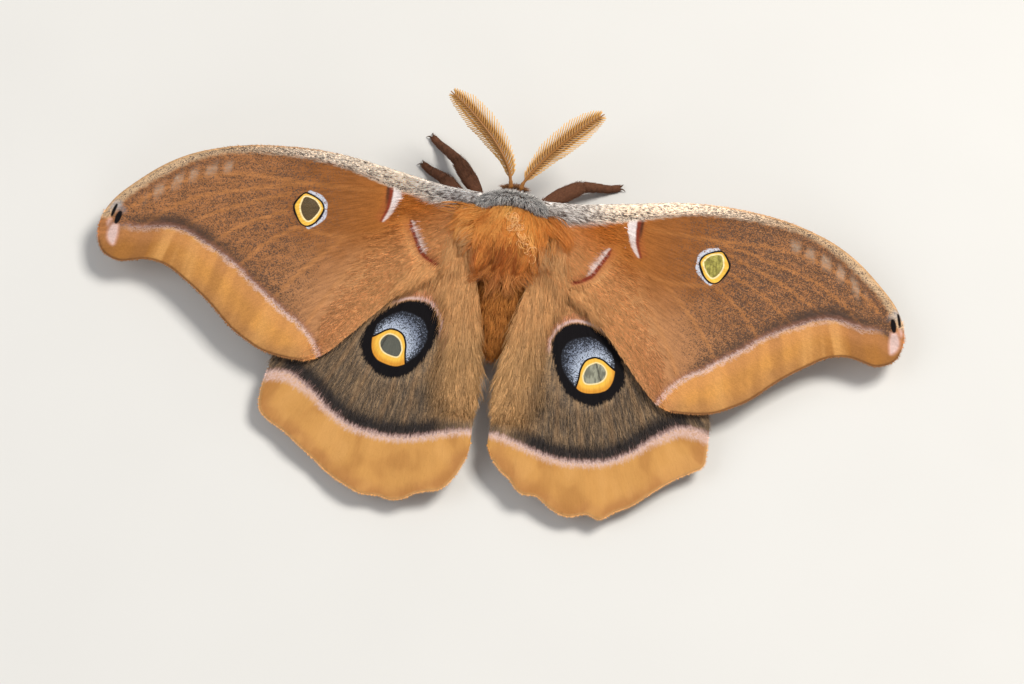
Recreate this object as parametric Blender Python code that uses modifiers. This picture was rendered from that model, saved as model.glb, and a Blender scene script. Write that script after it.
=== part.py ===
"""Giant silk moth at rest with open wings, standing on its six feet.

The moth faces +Y and the floor is z = 0. Every shape below is worked out in millimetres in the moth's own
frame, whose y = 0 is the front of the grey collar, and becomes metres where its mesh is made. An empty then
carries the whole moth forward, so that the origin ends up under the middle of its bounding box.
"""

import math
import random

import bmesh
import bpy
from mathutils import Vector
from mathutils.geometry import delaunay_2d_cdt

MM = 0.001
COLLAR_Y = 17.7  # how far the collar's front lies ahead of the origin
GAP = 0.3  # kept between neighbouring pieces

# Wings: plan outlines of the right side, as landmarks (x outwards, y forwards)
FOREWING_COSTA = (
    (4.4, 0.1), (10, 0.5), (15, 1.4), (20.3, 2.5), (25.3, 3.5), (30.4, 4.1), (35.5, 4.2),
    (40.6, 3.9), (45.7, 3.0), (50.8, 1.2), (55.8, -1.8), (60.0, -5.9),
)
FOREWING_APEX = (
    (62.2, -9.3), (62.8, -11.8), (62.4, -14.2), (61.2, -16.2), (58.8, -17.3), (56.8, -17.0),
    (54.3, -16.6),
)
FOREWING_MARGIN = (
    (51.2, -17.3), (48.1, -19.2), (44.0, -22.4), (39.9, -26.2), (36.8, -28.2), (34.3, -29.4),
    (31.3, -30.0), (28.3, -30.2),
)
FOREWING_INNER = (
    (26.3, -29.6), (23.8, -27.5), (19.4, -22.5), (16, -18.6), (12.5, -15.4), (9, -12.8),
    (6, -10.6), (4.4, -9.0),
)
HINDWING_COSTA = ((4.3, -6.2), (12, -7.4), (22, -12.5), (28.6, -19), (32.2, -25.0))
HINDWING_MARGIN = {
    -1: (
        (33.2, -31.0), (33.9, -35.3), (33.6, -38.1), (31.9, -39.7), (29.7, -41.0), (27.0, -43.1),
        (24.2, -45.0), (22.3, -46.5), (20.7, -47.6), (18.5, -48.8), (16.5, -49.5), (13.8, -49.4),
        (12.1, -49.8), (10.2, -49.5), (8.4, -48.5), (6.7, -48.0), (4.9, -47.4), (3.6, -46.0),
        (2.6, -44.3), (1.7, -42.1),
    ),
    1: (
        (34.2, -30.0), (34.4, -34.9), (34.1, -37.4), (32.3, -38.7), (30.0, -40.2), (27.2, -42.6),
        (24.3, -45.1), (21.7, -46.7), (19.5, -48.4), (17.4, -47.9), (14.7, -48.6), (12.1, -47.8),
        (9.7, -46.3), (7.8, -46.4), (6.4, -45.7), (5.2, -44.2), (3.9, -43.3), (2.4, -41.7),
    ),
}
HINDWING_INNER = (
    (1.3, -39.5), (1.4, -35), (1.8, -30), (2.4, -24.5), (3.0, -19), (3.7, -15), (4.4, -12), (4.6, -10.4),
)

# Wings: the sheet that both wings follow, and their thickness
ROOT_X = 5.0
ROOT_Z = 10.2
DIHEDRAL = 0.045  # fall for each millimetre outwards, near the root
DROOP = 0.0005  # more fall, with the square of the distance outwards
PITCH = 0.11  # rise for each millimetre forwards
WING_STEP = 1.25  # how far the hindwing's sheet lies under the forewing's
MEMBRANE = 0.5
VEIN_RIDGE = 0.16  # how far a vein stands out of each face
VEIN_HALF_WIDTH = 0.45
COSTA_ROLL = 1.7  # thickness that the rolled front edge adds at the forewing's root
COSTA_WIDTH = 2.4
PLEAT_DEPTH = 0.35
THICKEST = 3.0  # thickness that a vertex weight of 1 gives

# Wings: veins, from the root towards the margin
CELL_TOP = (31.5, -1.6)
CELL_END = (32.5, -9.0)
FOREWING_VEINS = (
    ((7.5, -1.9), (18, -1.6), CELL_TOP, (42, -1.2), (51, -3.2), (58.5, -8.6)),
    (CELL_TOP, (40, -3.4), (49, -6.0), (56, -11.3), (58.6, -15.4)),
    ((34.3, -3.6), (43, -6.9), (50.5, -11.2), (54.2, -15.0)),
    ((34.6, -6.6), (42, -10.4), (48.5, -17.2)),
    (CELL_END, (38, -13.4), (43.4, -21.4)),
    ((7.5, -3.4), (15, -6.2), (24.5, -9.6), CELL_END),
    ((24.5, -9.6), (31, -16.5), (37.6, -26.2)),
    ((16, -6.8), (24, -16), (30.6, -28.6)),
    ((7.5, -5.4), (14, -12.5), (21, -20.8), (26.6, -28.2)),
)
HINDWING_VEINS = (
    ((8, -8.0), (18, -13.5), (27, -22.5), (32.9, -33.5)),
    ((9, -9.5), (17, -17), (25, -27), (32.2, -36.8)),
    ((17, -17), (22.5, -29), (28.3, -40.0)),
    ((14, -18.5), (18.5, -31), (22.8, -44.2)),
    ((12, -22.5), (14.6, -34), (17.2, -46.2)),
    ((7.5, -10.5), (9.4, -19), (11.2, -34), (11.8, -46.2)),
    ((6.2, -12), (6.8, -22), (6.8, -34), (6.0, -43.6)),
    ((5.2, -13.5), (4.4, -24), (3.6, -34), (3.1, -40.6)),
)
EYESPOT_F = ((31.5, -5.7), 1.75, 2.25)  # centre and half sizes of the clear window in the forewing
EYESPOT_H = ((15.4, -25.9), 1.8, 1.75)  # the same in the hindwing
WINDOW_RIM = 0.14  # how far the window's rim stands out of each face
WINDOW_RIM_WIDTH = 0.6

# Wings: spacing of the points that the sheets are split at
EDGE_STEP = 2.3
VEIN_STEP = 3.2
FILL_STEP = 4.0
FRINGE_STEP = 1.05
FRINGE_H = 0.95  # length of the hair locks along the hindwing's inner margin
FRINGE_F = 0.5

# Body: stations (y, half width, half height, z of the middle)
HEAD = (
    (0.2, 1.7, 1.7, 7.2), (0.9, 2.2, 2.3, 7.1), (2.0, 2.15, 2.4, 6.9), (2.9, 1.6, 1.9, 6.7),
    (3.5, 0.9, 1.0, 6.4),
)
THORAX = (
    (-0.1, 2.7, 2.7, 7.9), (-0.9, 4.2, 4.1, 7.9), (-2.9, 5.1, 4.8, 7.7), (-5.5, 5.3, 4.9, 7.4),
    (-8.5, 4.7, 4.3, 6.9), (-10.6, 3.3, 3.1, 6.0),
)
ABDOMEN = (
    (-10.9, 2.9, 2.7, 5.6), (-12.3, 3.3, 3.0, 5.0), (-14.2, 3.4, 3.05, 4.7), (-16.2, 3.4, 3.0, 4.45),
    (-18.2, 3.15, 2.8, 4.2), (-20.2, 2.6, 2.4, 4.0), (-21.9, 1.9, 1.7, 3.9), (-23.0, 1.0, 1.0, 3.85),
)
BODY_SIDES = 18
COLLAR_SPAN = 4.5
COLLAR_RISE = 11.9
COLLAR_RADIUS = 1.3
COLLAR_STEPS = (-1, -0.72, -0.4, 0, 0.4, 0.72, 1)  # places along its arch, from side to side
EYE_PLACE = (2.1, 1.6, 6.6)
EYE_RADIUS = 1.15
PALP = ((0.75, 2.4, 5.4), (0.8, 3.6, 4.7), (0.7, 4.4, 4.8), (0.6, 5.0, 5.2))
PALP_RADII = (0.55, 0.6, 0.45)

# Feelers
FEELERS = {
    -1: (
        (-0.8, 2.0, 8.0), (-0.75, 3.2, 9.4), (-1.8, 5.7, 10.8), (-4.2, 8.6, 12.2), (-7.2, 11.2, 13.6),
        (-9.4, 12.9, 14.4), (-11.9, 14.6, 15.0),
    ),
    1: (
        (0.9, 2.0, 8.0), (1.2, 3.3, 9.4), (3.4, 6.4, 10.8), (5.5, 8.6, 12.0), (7.6, 10.6, 13.0),
        (10.0, 12.7, 14.0), (12.2, 14.3, 15.0),
    ),
}
FEELER_RADIUS = 0.34
FEELER_THICKNESS = 0.75
SCAPE_RADIUS = 0.6
RAMI = 15  # branches a side
RAMI_START = 2.6
RAMUS_LENGTH = 3.3
RAMUS_WIDTH = 0.44
RAMUS_THICKNESS = 0.5
RAMUS_LEAN = math.radians(44)
INNER_TILT = math.radians(12)
OUTER_TILT = math.radians(-50)

# Legs: hip, knee, ankle and the two ends of the part of the foot that lies on the floor
LEGS = {
    "leg_front_left": (
        (-2.5, -1.2, 3.8), (-5.4, 2.9, 4.5), (-9.5, 9.2, 3.2), (-12.8, 12.9, 0.75), (-14.0, 14.1, 0.5),
    ),
    "leg_front_right": (
        (2.5, -1.2, 3.8), (5.0, 3.0, 4.5), (10.6, 7.6, 3.2), (14.7, 9.1, 0.75), (16.4, 9.7, 0.5),
    ),
    "leg_mid_left": (
        (-3.2, -4.2, 3.5), (-7.3, 0.8, 4.4), (-11.1, 5.9, 2.6), (-13.5, 8.0, 0.7), (-14.8, 9.0, 0.5),
    ),
    "leg_mid_right": (
        (3.2, -4.2, 3.5), (8.6, -3.4, 4.4), (13.6, -1.6, 2.6), (15.8, -0.7, 0.7), (17.6, 0.0, 0.5),
    ),
    "leg_hind_left": (
        (-2.8, -7.6, 3.3), (-6.6, -10.6, 4.1), (-9.6, -16.0, 2.4), (-10.8, -18.5, 0.7), (-11.6, -20.4, 0.5),
    ),
    "leg_hind_right": (
        (2.8, -7.6, 3.3), (6.6, -10.4, 4.1), (9.2, -16.2, 2.4), (10.3, -18.7, 0.7), (11.0, -20.7, 0.5),
    ),
}
FEMUR = (0.75, 1.0, 0.8)  # radius at the hip, in the middle and at the knee
TIBIA = (0.8, 1.45, 1.35, 0.95)
TIBIA_FLATNESS = 0.75
TARSUS = (0.95, 0.55)  # radius at the ankle and at the toe
TARSUS_BEAD = 0.12
CLAW_LENGTH = 0.9
CLAW_RADIUS = 0.27
LEG_SIDES = 8

# Coat: locks (length, width, thickness)
BACK_LOCK = (4.6, 1.35, 0.55)
REAR_LOCK = (3.2, 1.3, 0.55)
COLLAR_LOCK = (2.3, 1.15, 0.55)
BELLY_LOCK = (3.0, 1.3, 0.55)
ABDOMEN_LOCK = (2.8, 1.5, 0.5)
TAIL_LOCK = (2.6, 1.0, 0.5)
HEAD_LOCK = (1.7, 0.8, 0.5)
LOCK_SUNK = 0.8  # how deep a lock's root lies in its node
LOCK_LIFT = 0.45  # how far above a wing the middle of a lock that crosses it stays

RUST = (0.56, 0.24, 0.07, 1)
TAN = (0.55, 0.33, 0.15, 1)
UMBER = (0.28, 0.12, 0.06, 1)
GOLD = (0.62, 0.38, 0.13, 1)
DARK = (0.03, 0.02, 0.02, 1)


def clear_scene():
    for old in list(bpy.data.objects):
        bpy.data.objects.remove(old)


def collection(name):
    made = bpy.data.collections.new(name)
    bpy.context.scene.collection.children.link(made)
    return made


def finish(name, colour, roughness):
    material = bpy.data.materials.new(name)
    material.use_nodes = True
    shader = material.node_tree.nodes["Principled BSDF"]
    shader.inputs["Base Color"].default_value = colour
    shader.inputs["Roughness"].default_value = roughness
    return material


# Curves in the plan and in space


def smooth(landmarks, step):
    """Points about a step apart on a smooth curve through the landmarks, which it keeps."""
    ends = [landmarks[0], *landmarks, landmarks[-1]]
    found = []
    for a, b, c, d in zip(ends, ends[1:], ends[2:], ends[3:]):
        a, b, c, d = Vector(a), Vector(b), Vector(c), Vector(d)
        count = max(1, round((c - b).length / step))
        for i in range(count):
            t = i / count
            bend, twist = 2 * a - 5 * b + 4 * c - d, 3 * b - a - 3 * c + d
            found.append(0.5 * (2 * b + (c - a) * t + bend * t**2 + twist * t**3))
    return found + [Vector(landmarks[-1])]


def nearest(point, line):
    """Distance from a point of the plan to a line of points."""
    best = math.inf
    for a, b in zip(line, line[1:]):
        along = b - a
        t = max(0.0, min(1.0, (point - a).dot(along) / max(along.length_squared, 1e-9)))
        best = min(best, (point - a - along * t).length)
    return best


def inside(point, loop):
    hit = False
    for a, b in zip(loop, [*loop[1:], loop[0]]):
        if (a.y > point.y) != (b.y > point.y):
            if point.x < a.x + (b.x - a.x) * (point.y - a.y) / (b.y - a.y):
                hit = not hit
    return hit


def outward(loop, i):
    """Outward direction of a loop that runs clockwise, at its point i."""
    along = loop[(i + 1) % len(loop)] - loop[i - 1]
    return Vector((-along.y, along.x)).normalized()


def fringed(inner, length):
    """The inner margin with a row of flat hair locks, whose tips point outwards and back."""
    line = smooth(inner, FRINGE_STEP)
    for i in range(1, len(line) - 1):
        if i % 2:
            along = (line[i - 1] - line[i + 1]).normalized()
            line[i] = line[i] + Vector((along.y, -along.x)) * length + along * length * 0.7
    return line


# Wings


def wing_height(x, y):
    out = x - ROOT_X
    return ROOT_Z - DIHEDRAL * out - DROOP * out * abs(out) + PITCH * y


def pleat(x, y, hind):
    """Soft folds that fan out of the root and deepen towards the margin."""
    reach = math.hypot(x - ROOT_X, y + 5)
    start, span = (34.0, 14.0) if hind else (40.0, 20.0)
    depth = max(0.0, min(1.0, (reach - start) / span))
    if hind and x > 29:
        depth *= max(0.0, (34.5 - x) / 5.5)
    return PLEAT_DEPTH * depth * math.sin(math.atan2(x - ROOT_X, -5 - y) * (26 if hind else 34))


def window_rim(point, spot):
    """Height of the rim round the clear window of an eyespot."""
    (cx, cy), half_x, half_y = spot
    ring = math.hypot((point.x - cx) / half_x, (point.y - cy) / half_y)
    return WINDOW_RIM if abs(ring - 1) < 0.2 else 0.0


def window_points(spot):
    """Points on the window's edge, and inside and outside its rim."""
    (cx, cy), half_x, half_y = spot
    rings = []
    for grow in (-WINDOW_RIM_WIDTH, 0, WINDOW_RIM_WIDTH):
        for i in range(12):
            angle = math.tau * (i + 0.5 * (grow != 0)) / 12
            rings.append(
                Vector((cx + (half_x + grow) * math.cos(angle), cy + (half_y + grow) * math.sin(angle)))
            )
    return rings


def sheet(outline, veins, extra):
    """An outline of the plan split into triangles, with the veins among their edges."""
    points = list(outline)
    edges = [(i, (i + 1) % len(outline)) for i in range(len(outline))]
    for vein in veins:
        first = len(points)
        points += vein
        edges += [(first + i, first + i + 1) for i in range(len(vein) - 1)]
    free = list(extra)
    for vein in veins:
        others = [other for other in veins if other is not vein]
        for a, b in zip(vein, vein[1:]):
            along = (b - a).normalized()
            for side in (-1, 1):
                spot = (a + b) / 2 + Vector((-along.y, along.x)) * VEIN_HALF_WIDTH * side
                if all(nearest(spot, other) > 2 * VEIN_HALF_WIDTH for other in others):
                    free.append(spot)
    rim = [*outline, outline[0]]
    lines = [rim, *veins]
    xs, ys = [p.x for p in outline], [p.y for p in outline]
    row_step = FILL_STEP * math.sqrt(3) / 2
    for row in range(int((max(ys) - min(ys)) / row_step) + 1):
        for column in range(int((max(xs) - min(xs)) / FILL_STEP) + 2):
            spot = Vector((min(xs) + (column + 0.5 * (row % 2)) * FILL_STEP, min(ys) + row * row_step))
            if not inside(spot, outline):
                continue
            clear_of_lines = all(nearest(spot, line) > 0.45 * FILL_STEP for line in lines)
            if clear_of_lines and all((spot - other).length > 0.45 * FILL_STEP for other in extra):
                free.append(spot)
    points += [p for p in free if inside(p, outline) and nearest(p, rim) > 0.5]
    flat, _, faces, *_ = delaunay_2d_cdt([p.to_2d() for p in points], edges, [], 1, 0.12)
    return flat, faces


def vane(name, group, outline, veins, thickness, place, extra=(), grow=0.0):
    """A thin closed solid, its two faces split alike; place sets a point of the plan in space."""
    if grow:
        outline = [p + outward(outline, i) * grow for i, p in enumerate(outline)]
    flat, faces = sheet(outline, veins, extra)
    mesh = bpy.data.meshes.new(name)
    mesh.from_pydata([place(p) * MM for p in flat], [], faces)
    made = bpy.data.objects.new(name, mesh)
    group.objects.link(made)
    weights = made.vertex_groups.new(name="thickness")
    for i, p in enumerate(flat):
        weights.add([i], (thickness(p) + 2 * grow) / THICKEST, "REPLACE")
    solid = made.modifiers.new("thickness", "SOLIDIFY")
    solid.thickness = THICKEST * MM
    solid.offset = 0
    solid.vertex_group = "thickness"
    return made


def forewing(name, group, side, grow=0.0):
    costa = smooth(FOREWING_COSTA, EDGE_STEP)
    rim = smooth(FOREWING_COSTA + FOREWING_APEX + FOREWING_MARGIN + FOREWING_INNER[:1], EDGE_STEP)
    inner = smooth(FOREWING_INNER, EDGE_STEP) if grow else fringed(FOREWING_INNER, FRINGE_F)
    veins = [smooth(line, VEIN_STEP) for line in FOREWING_VEINS]
    roll = [
        p - outward(costa, i) * COSTA_WIDTH * share
        for share in (0.45, 1.0)
        for i, p in enumerate(costa)
        if 0 < i < len(costa) - 2
    ]

    def thickness(p):
        value = MEMBRANE
        if min(nearest(p, vein) for vein in veins) < 0.1:
            value += 2 * VEIN_RIDGE
        value += 2 * window_rim(p, EYESPOT_F)
        depth = nearest(p, costa) / COSTA_WIDTH
        if depth < 1:
            swell = 1 - 0.7 * min(1.0, max(0.0, p.x - ROOT_X) / 50)
            bulge = math.sqrt(max(0.0, 1 - (depth - 0.45) ** 2 / 0.31))
            value = max(value, MEMBRANE + COSTA_ROLL * swell * bulge)
        return value

    def place(p):
        return Vector((side * p.x, p.y, wing_height(p.x, p.y) + pleat(p.x, p.y, False)))

    extra = window_points(EYESPOT_F) + roll
    return vane(name, group, rim[:-1] + inner, veins, thickness, place, extra, grow)


def hindwing(name, group, side, grow=0.0):
    rim = smooth(HINDWING_COSTA + HINDWING_MARGIN[side] + HINDWING_INNER[:1], EDGE_STEP)
    if grow:
        shift = Vector((-FRINGE_H, 0))
        inner = [p + shift for p in smooth(HINDWING_INNER, EDGE_STEP)]
    else:
        inner = fringed(HINDWING_INNER, FRINGE_H)
    veins = [smooth(line, VEIN_STEP) for line in HINDWING_VEINS]

    def thickness(p):
        value = MEMBRANE
        if min(nearest(p, vein) for vein in veins) < 0.1:
            value += 2 * VEIN_RIDGE
        return value + 2 * window_rim(p, EYESPOT_H)

    def place(p):
        return Vector((side * p.x, p.y, wing_height(p.x, p.y) - WING_STEP + pleat(p.x, p.y, True)))

    return vane(name, group, rim[:-1] + inner, veins, thickness, place, window_points(EYESPOT_H), grow)


# Solid pieces


def ring(middle, side, up, half_width, half_height, sides):
    turn = [math.tau * i / sides for i in range(sides)]
    return [middle + side * half_width * math.cos(a) + up * half_height * math.sin(a) for a in turn]


def loft(name, group, rings, tip=None):
    """A closed solid through rings of points, with flat ends, or with a point at the far end."""
    shape = bmesh.new()
    rows = [[shape.verts.new(p * MM) for p in points] for points in rings]
    for low, high in zip(rows, rows[1:]):
        for i in range(len(low)):
            j = (i + 1) % len(low)
            shape.faces.new((low[i], low[j], high[j], high[i]))
    shape.faces.new(rows[0])
    if tip is None:
        shape.faces.new(rows[-1])
    else:
        point = shape.verts.new(tip * MM)
        for i in range(len(rows[-1])):
            shape.faces.new((rows[-1][i], rows[-1][(i + 1) % len(rows[-1])], point))
    bmesh.ops.recalc_face_normals(shape, faces=shape.faces)
    mesh = bpy.data.meshes.new(name)
    shape.to_mesh(mesh)
    shape.free()
    made = bpy.data.objects.new(name, mesh)
    group.objects.link(made)
    return made


def body_part(name, group, stations):
    """A round body part through its stations, which run backwards or forwards along Y."""
    rings = [
        ring(Vector((0, y, z)), Vector((1, 0, 0)), Vector((0, 0, 1)), wide, high, BODY_SIDES)
        for y, wide, high, z in stations
    ]
    return loft(name, group, rings)


def limb(name, group, line, radii, sides=LEG_SIDES, flat=1.0, tip=None):
    """A tapered limb along a line of points, flattened in height where flat is under 1."""
    rings = []
    for i, point in enumerate(line):
        along = (line[min(i + 1, len(line) - 1)] - line[max(i - 1, 0)]).normalized()
        side = along.cross(Vector((0, 0, 1))).normalized()
        rings.append(ring(point, side, side.cross(along), radii[i], radii[i] * flat, sides))
    return loft(name, group, rings, tip)


def ball(name, group, middle, radius, segments=16, rings=10):
    bpy.ops.mesh.primitive_uv_sphere_add(
        segments=segments, ring_count=rings, radius=radius * MM, location=Vector(middle) * MM
    )
    made = bpy.context.object
    made.name = name
    made.data.transform(made.matrix_world)
    made.matrix_world.identity()
    for holder in made.users_collection:
        holder.objects.unlink(made)
    group.objects.link(made)
    return made


def lock(group, root, heading, normal, size, clear):
    """A flat, tapered lock that leaves the surface at a low angle and bends back along it."""
    length, width, thick = size
    side = heading.cross(normal).normalized()
    spine = [
        root - normal * LOCK_SUNK,
        root + heading * length * 0.22 + normal * 0.42,
        root + heading * length * 0.62 + normal * 0.75,
        root + heading * length + normal * 0.35,
    ]
    spine = [spine[0]] + [clear(p) for p in spine[1:]]
    rings = []
    for point, share in zip(spine, (0.8, 1.0, 0.72)):
        a, b = side * width / 2 * share, normal * thick / 2
        rings.append([point - a - b, point + a - b, point + a + b, point - a + b])
    return loft("lock", group, rings, spine[3])


# Booleans


def apply_boolean(made, others, operation, solver):
    cut = made.modifiers.new("cut", "BOOLEAN")
    cut.operand_type = "COLLECTION"
    cut.collection = others
    cut.operation = operation
    cut.solver = solver
    graph = bpy.context.evaluated_depsgraph_get()
    mesh = bpy.data.meshes.new_from_object(made.evaluated_get(graph))
    made.modifiers.clear()
    made.data = mesh


def keep_largest(made):
    """Drops every loose scrap and sealed hollow, and leaves the node's largest closed surface."""
    shape = bmesh.new()
    shape.from_mesh(made.data)
    bmesh.ops.triangulate(shape, faces=shape.faces)
    left, shells = set(shape.verts), []
    while left:
        stack = [left.pop()]
        shell = set(stack)
        while stack:
            for edge in stack.pop().link_edges:
                for vert in edge.verts:
                    if vert in left:
                        left.discard(vert)
                        shell.add(vert)
                        stack.append(vert)
        shells.append(shell)
    largest = max(shells, key=len)
    spare = [vert for shell in shells if shell is not largest for vert in shell]
    bmesh.ops.delete(shape, geom=spare, context="VERTS")
    shape.to_mesh(made.data)
    shape.free()


def drop(group):
    for old in list(group.objects):
        bpy.data.objects.remove(old)
    bpy.data.collections.remove(group)


def fuse(base, pieces):
    """Joins the pieces of a collection to the base and removes them."""
    apply_boolean(base, pieces, "UNION", "MANIFOLD")
    drop(pieces)
    keep_largest(base)


def part_from(made, neighbours):
    """Cuts a node clear of its neighbours, which come grown by the gap."""
    apply_boolean(made, neighbours, "DIFFERENCE", "MANIFOLD")
    keep_largest(made)


# Body nodes


def above_wings(p):
    """A lock's point, lifted clear of the wing under it."""
    level = wing_height(abs(p.x), p.y) + MEMBRANE / 2 + GAP + LOCK_LIFT
    if abs(p.x) > ROOT_X - 1.2 and -10 < p.y < 1 and p.z > ROOT_Z - 3:
        if p.y > -COSTA_WIDTH:
            level += COSTA_ROLL / 2 + 0.2
        return Vector((p.x, p.y, max(p.z, level)))
    return p


def above_abdomen(p):
    """The same, behind the thorax, where the locks hang over the abdomen."""
    p = above_wings(p)
    if p.y < THORAX[-1][0] + 0.6 and p.z > ABDOMEN[0][3]:
        return Vector((p.x, p.y, max(p.z, ABDOMEN[0][3] + ABDOMEN[0][2] + 1.5)))
    return p


def station_at(stations, y):
    """Half width, half height and middle height of a body part at a y."""
    for (y0, *a), (y1, *b) in zip(stations, stations[1:]):
        if min(y0, y1) <= y <= max(y0, y1):
            t = (y - y0) / (y1 - y0)
            return [p + (q - p) * t for p, q in zip(a, b)]
    return stations[-1][1:]


def coat(group, stations, rows, size, dice, clear, spread=0.5):
    """Rows of locks over a body part. Each row is (y, first angle from the top, last angle, count)."""
    for row, (y, first, last, count) in enumerate(rows):
        wide, high, middle = station_at(stations, y)
        for i in range(count):
            share = (i + 0.25 + 0.5 * (row % 2)) / count
            angle = math.radians(first + (last - first) * share) + dice.uniform(-0.05, 0.05)
            across, rise = math.sin(angle), math.cos(angle)
            root = Vector((wide * across, y + dice.uniform(-0.25, 0.25), middle + high * rise))
            normal = Vector((across / wide, 0, rise / high)).normalized()
            round_about = Vector((normal.z, 0, -normal.x))
            heading = Vector((0, -1, 0)) + round_about * (spread * across + dice.uniform(-0.18, 0.18))
            scale = dice.uniform(0.85, 1.12)
            sized = (size[0] * scale, size[1] * dice.uniform(0.9, 1.1), size[2])
            lock(group, root, heading.normalized(), normal, sized, clear)


def collar_point(s):
    """The middle of the collar's roll, at a place from -1 on the left to 1 on the right."""
    return Vector((COLLAR_SPAN * s, -1.05 - 0.7 * s * s, COLLAR_RISE - 1.9 * s * s))


def thorax(group, cutters):
    """The thorax with its grey collar and its shaggy coat, slotted for the wings and legs."""
    made = body_part("thorax", group, THORAX)
    dice = random.Random(11)
    pieces = collection("thorax pieces")
    arch = [collar_point(s) for s in COLLAR_STEPS]
    ahead = Vector((0, 1, 0))
    roll = []
    for i, point in enumerate(arch):
        along = (arch[min(i + 1, len(arch) - 1)] - arch[max(i - 1, 0)]).normalized()
        roll.append(ring(point, ahead, along.cross(ahead), COLLAR_RADIUS, COLLAR_RADIUS, 10))
    loft("collar", pieces, roll)
    for i in range(13):
        s = -0.92 + 1.84 * i / 12
        root = collar_point(s)
        normal = Vector((0.75 * s, 0.1 + 0.35 * (i % 2), 1)).normalized()
        heading = Vector((0.5 * s, -1, 0))
        heading = (heading - normal * heading.dot(normal)).normalized()
        lock(pieces, root + normal * COLLAR_RADIUS * 0.8, heading, normal, COLLAR_LOCK, above_wings)
    back = (
        (-1.6, -66, 66, 9), (-3.1, -62, 62, 9), (-4.7, -60, 60, 9), (-6.3, -60, 60, 9),
        (-7.8, -60, 60, 8),
    )
    coat(pieces, THORAX, back, BACK_LOCK, dice, above_abdomen)
    coat(pieces, THORAX, ((-9.2, -50, 50, 6),), REAR_LOCK, dice, above_abdomen)
    belly = ((-2.2, 118, 242, 5), (-5.2, 122, 238, 5), (-8.0, 128, 232, 4))
    coat(pieces, THORAX, belly, BELLY_LOCK, dice, lambda p: p, 0.2)
    fuse(made, pieces)
    part_from(made, cutters)
    return made


def abdomen(group, cutters):
    made = body_part("abdomen", group, ABDOMEN)
    dice = random.Random(5)
    pieces = collection("abdomen pieces")
    rows = [(y, -140, 140, 7) for y in (-12.4, -14.6, -16.9, -19.1)]
    coat(pieces, ABDOMEN, rows, ABDOMEN_LOCK, dice, lambda p: p, 0.1)
    coat(pieces, ABDOMEN, ((-21.4, 0, 360, 7),), TAIL_LOCK, dice, lambda p: p, 0.0)
    fuse(made, pieces)
    part_from(made, cutters)
    return made


def head(group, cutters):
    """The small head, tucked under the collar, with its palps and a tuft between the feelers."""
    made = body_part("head", group, HEAD)
    pieces = collection("head pieces")
    for side in (-1, 1):
        palp = [Vector((side * x, y, z)) for x, y, z in PALP]
        limb("palp", pieces, palp[:-1], PALP_RADII, 8, tip=palp[-1])
    dice = random.Random(3)
    for y, z, count in ((2.5, 8.6, 3), (3.0, 7.8, 3), (3.2, 6.8, 2)):
        for i in range(count):
            x = (i - (count - 1) / 2) * 0.85
            normal = Vector((0.25 * x, 0.75, (z - 6.7) * 0.4)).normalized()
            heading = Vector((0.35 * x + dice.uniform(-0.1, 0.1), 0.9, 0.35 * (z - 7.6)))
            heading = (heading - normal * heading.dot(normal) * 0.7).normalized()
            lock(pieces, Vector((x, y - 0.1 * x * x, z)), heading, normal, HEAD_LOCK, lambda p: p)
    fuse(made, pieces)
    part_from(made, cutters)
    return made


# Feelers


def along_line(line, reach):
    """The point of a line at a distance from its start, and the line's direction there."""
    for a, b in zip(line, line[1:]):
        step = (b - a).length
        if reach <= step or b is line[-1]:
            return a + (b - a) * (reach / step), (b - a).normalized()
        reach -= step


def comb(length, way):
    """One edge of a feeler's plan, from its root to its tip, with its row of branches."""
    edge = [Vector((0, way * FEELER_RADIUS))]
    foot = RAMUS_WIDTH / 2 / math.sin(RAMUS_LEAN)
    lean = Vector((math.cos(RAMUS_LEAN), way * math.sin(RAMUS_LEAN)))
    for i in range(RAMI):
        t = (i + 0.5) / RAMI
        root = RAMI_START + (length - RAMI_START - 1.0) * t
        shaft = FEELER_RADIUS * (1 - 0.35 * t)
        reach = RAMUS_LENGTH * math.sin(math.pi * (0.08 + 0.87 * t)) ** 0.7
        low, high = Vector((root - foot, way * shaft)), Vector((root + foot, way * shaft))
        tip = (low + high) / 2 + lean * reach + Vector((0.2, 0))
        edge += [low, low + lean * reach * 0.62, tip, high + lean * reach * 0.62, high]
    return edge


def feeler(name, group, side):
    """A feathered feeler: a thick shaft with a row of branches along each side."""
    line = smooth(FEELERS[side], 0.8)
    length = sum((b - a).length for a, b in zip(line, line[1:]))
    count = round(length)
    shaft = [Vector((0.2 + (length - 0.5) * i / count, 0)) for i in range(count + 1)]

    def thickness(p):
        if abs(p.y) < 0.05:
            return FEELER_THICKNESS - (FEELER_THICKNESS - RAMUS_THICKNESS) * min(1.0, p.x / length)
        return RAMUS_THICKNESS

    def place(p):
        middle, ahead = along_line(line, p.x)
        flank = ahead.cross(Vector((0, 0, 1))).normalized()
        tilt = OUTER_TILT if p.y * side > 0 else INNER_TILT
        reach = flank * math.copysign(math.cos(tilt), p.y) + flank.cross(ahead) * math.sin(tilt)
        return middle + reach * abs(p.y)

    outline = [*comb(length, 1), Vector((length, 0)), *reversed(comb(length, -1))]
    made = vane(name, group, outline, [shaft], thickness, place)
    pieces = collection(name + " pieces")
    limb("scape", pieces, [line[0], line[1]], (SCAPE_RADIUS, SCAPE_RADIUS * 0.8), 8, tip=line[2])
    fuse(made, pieces)
    return made


# Legs


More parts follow.
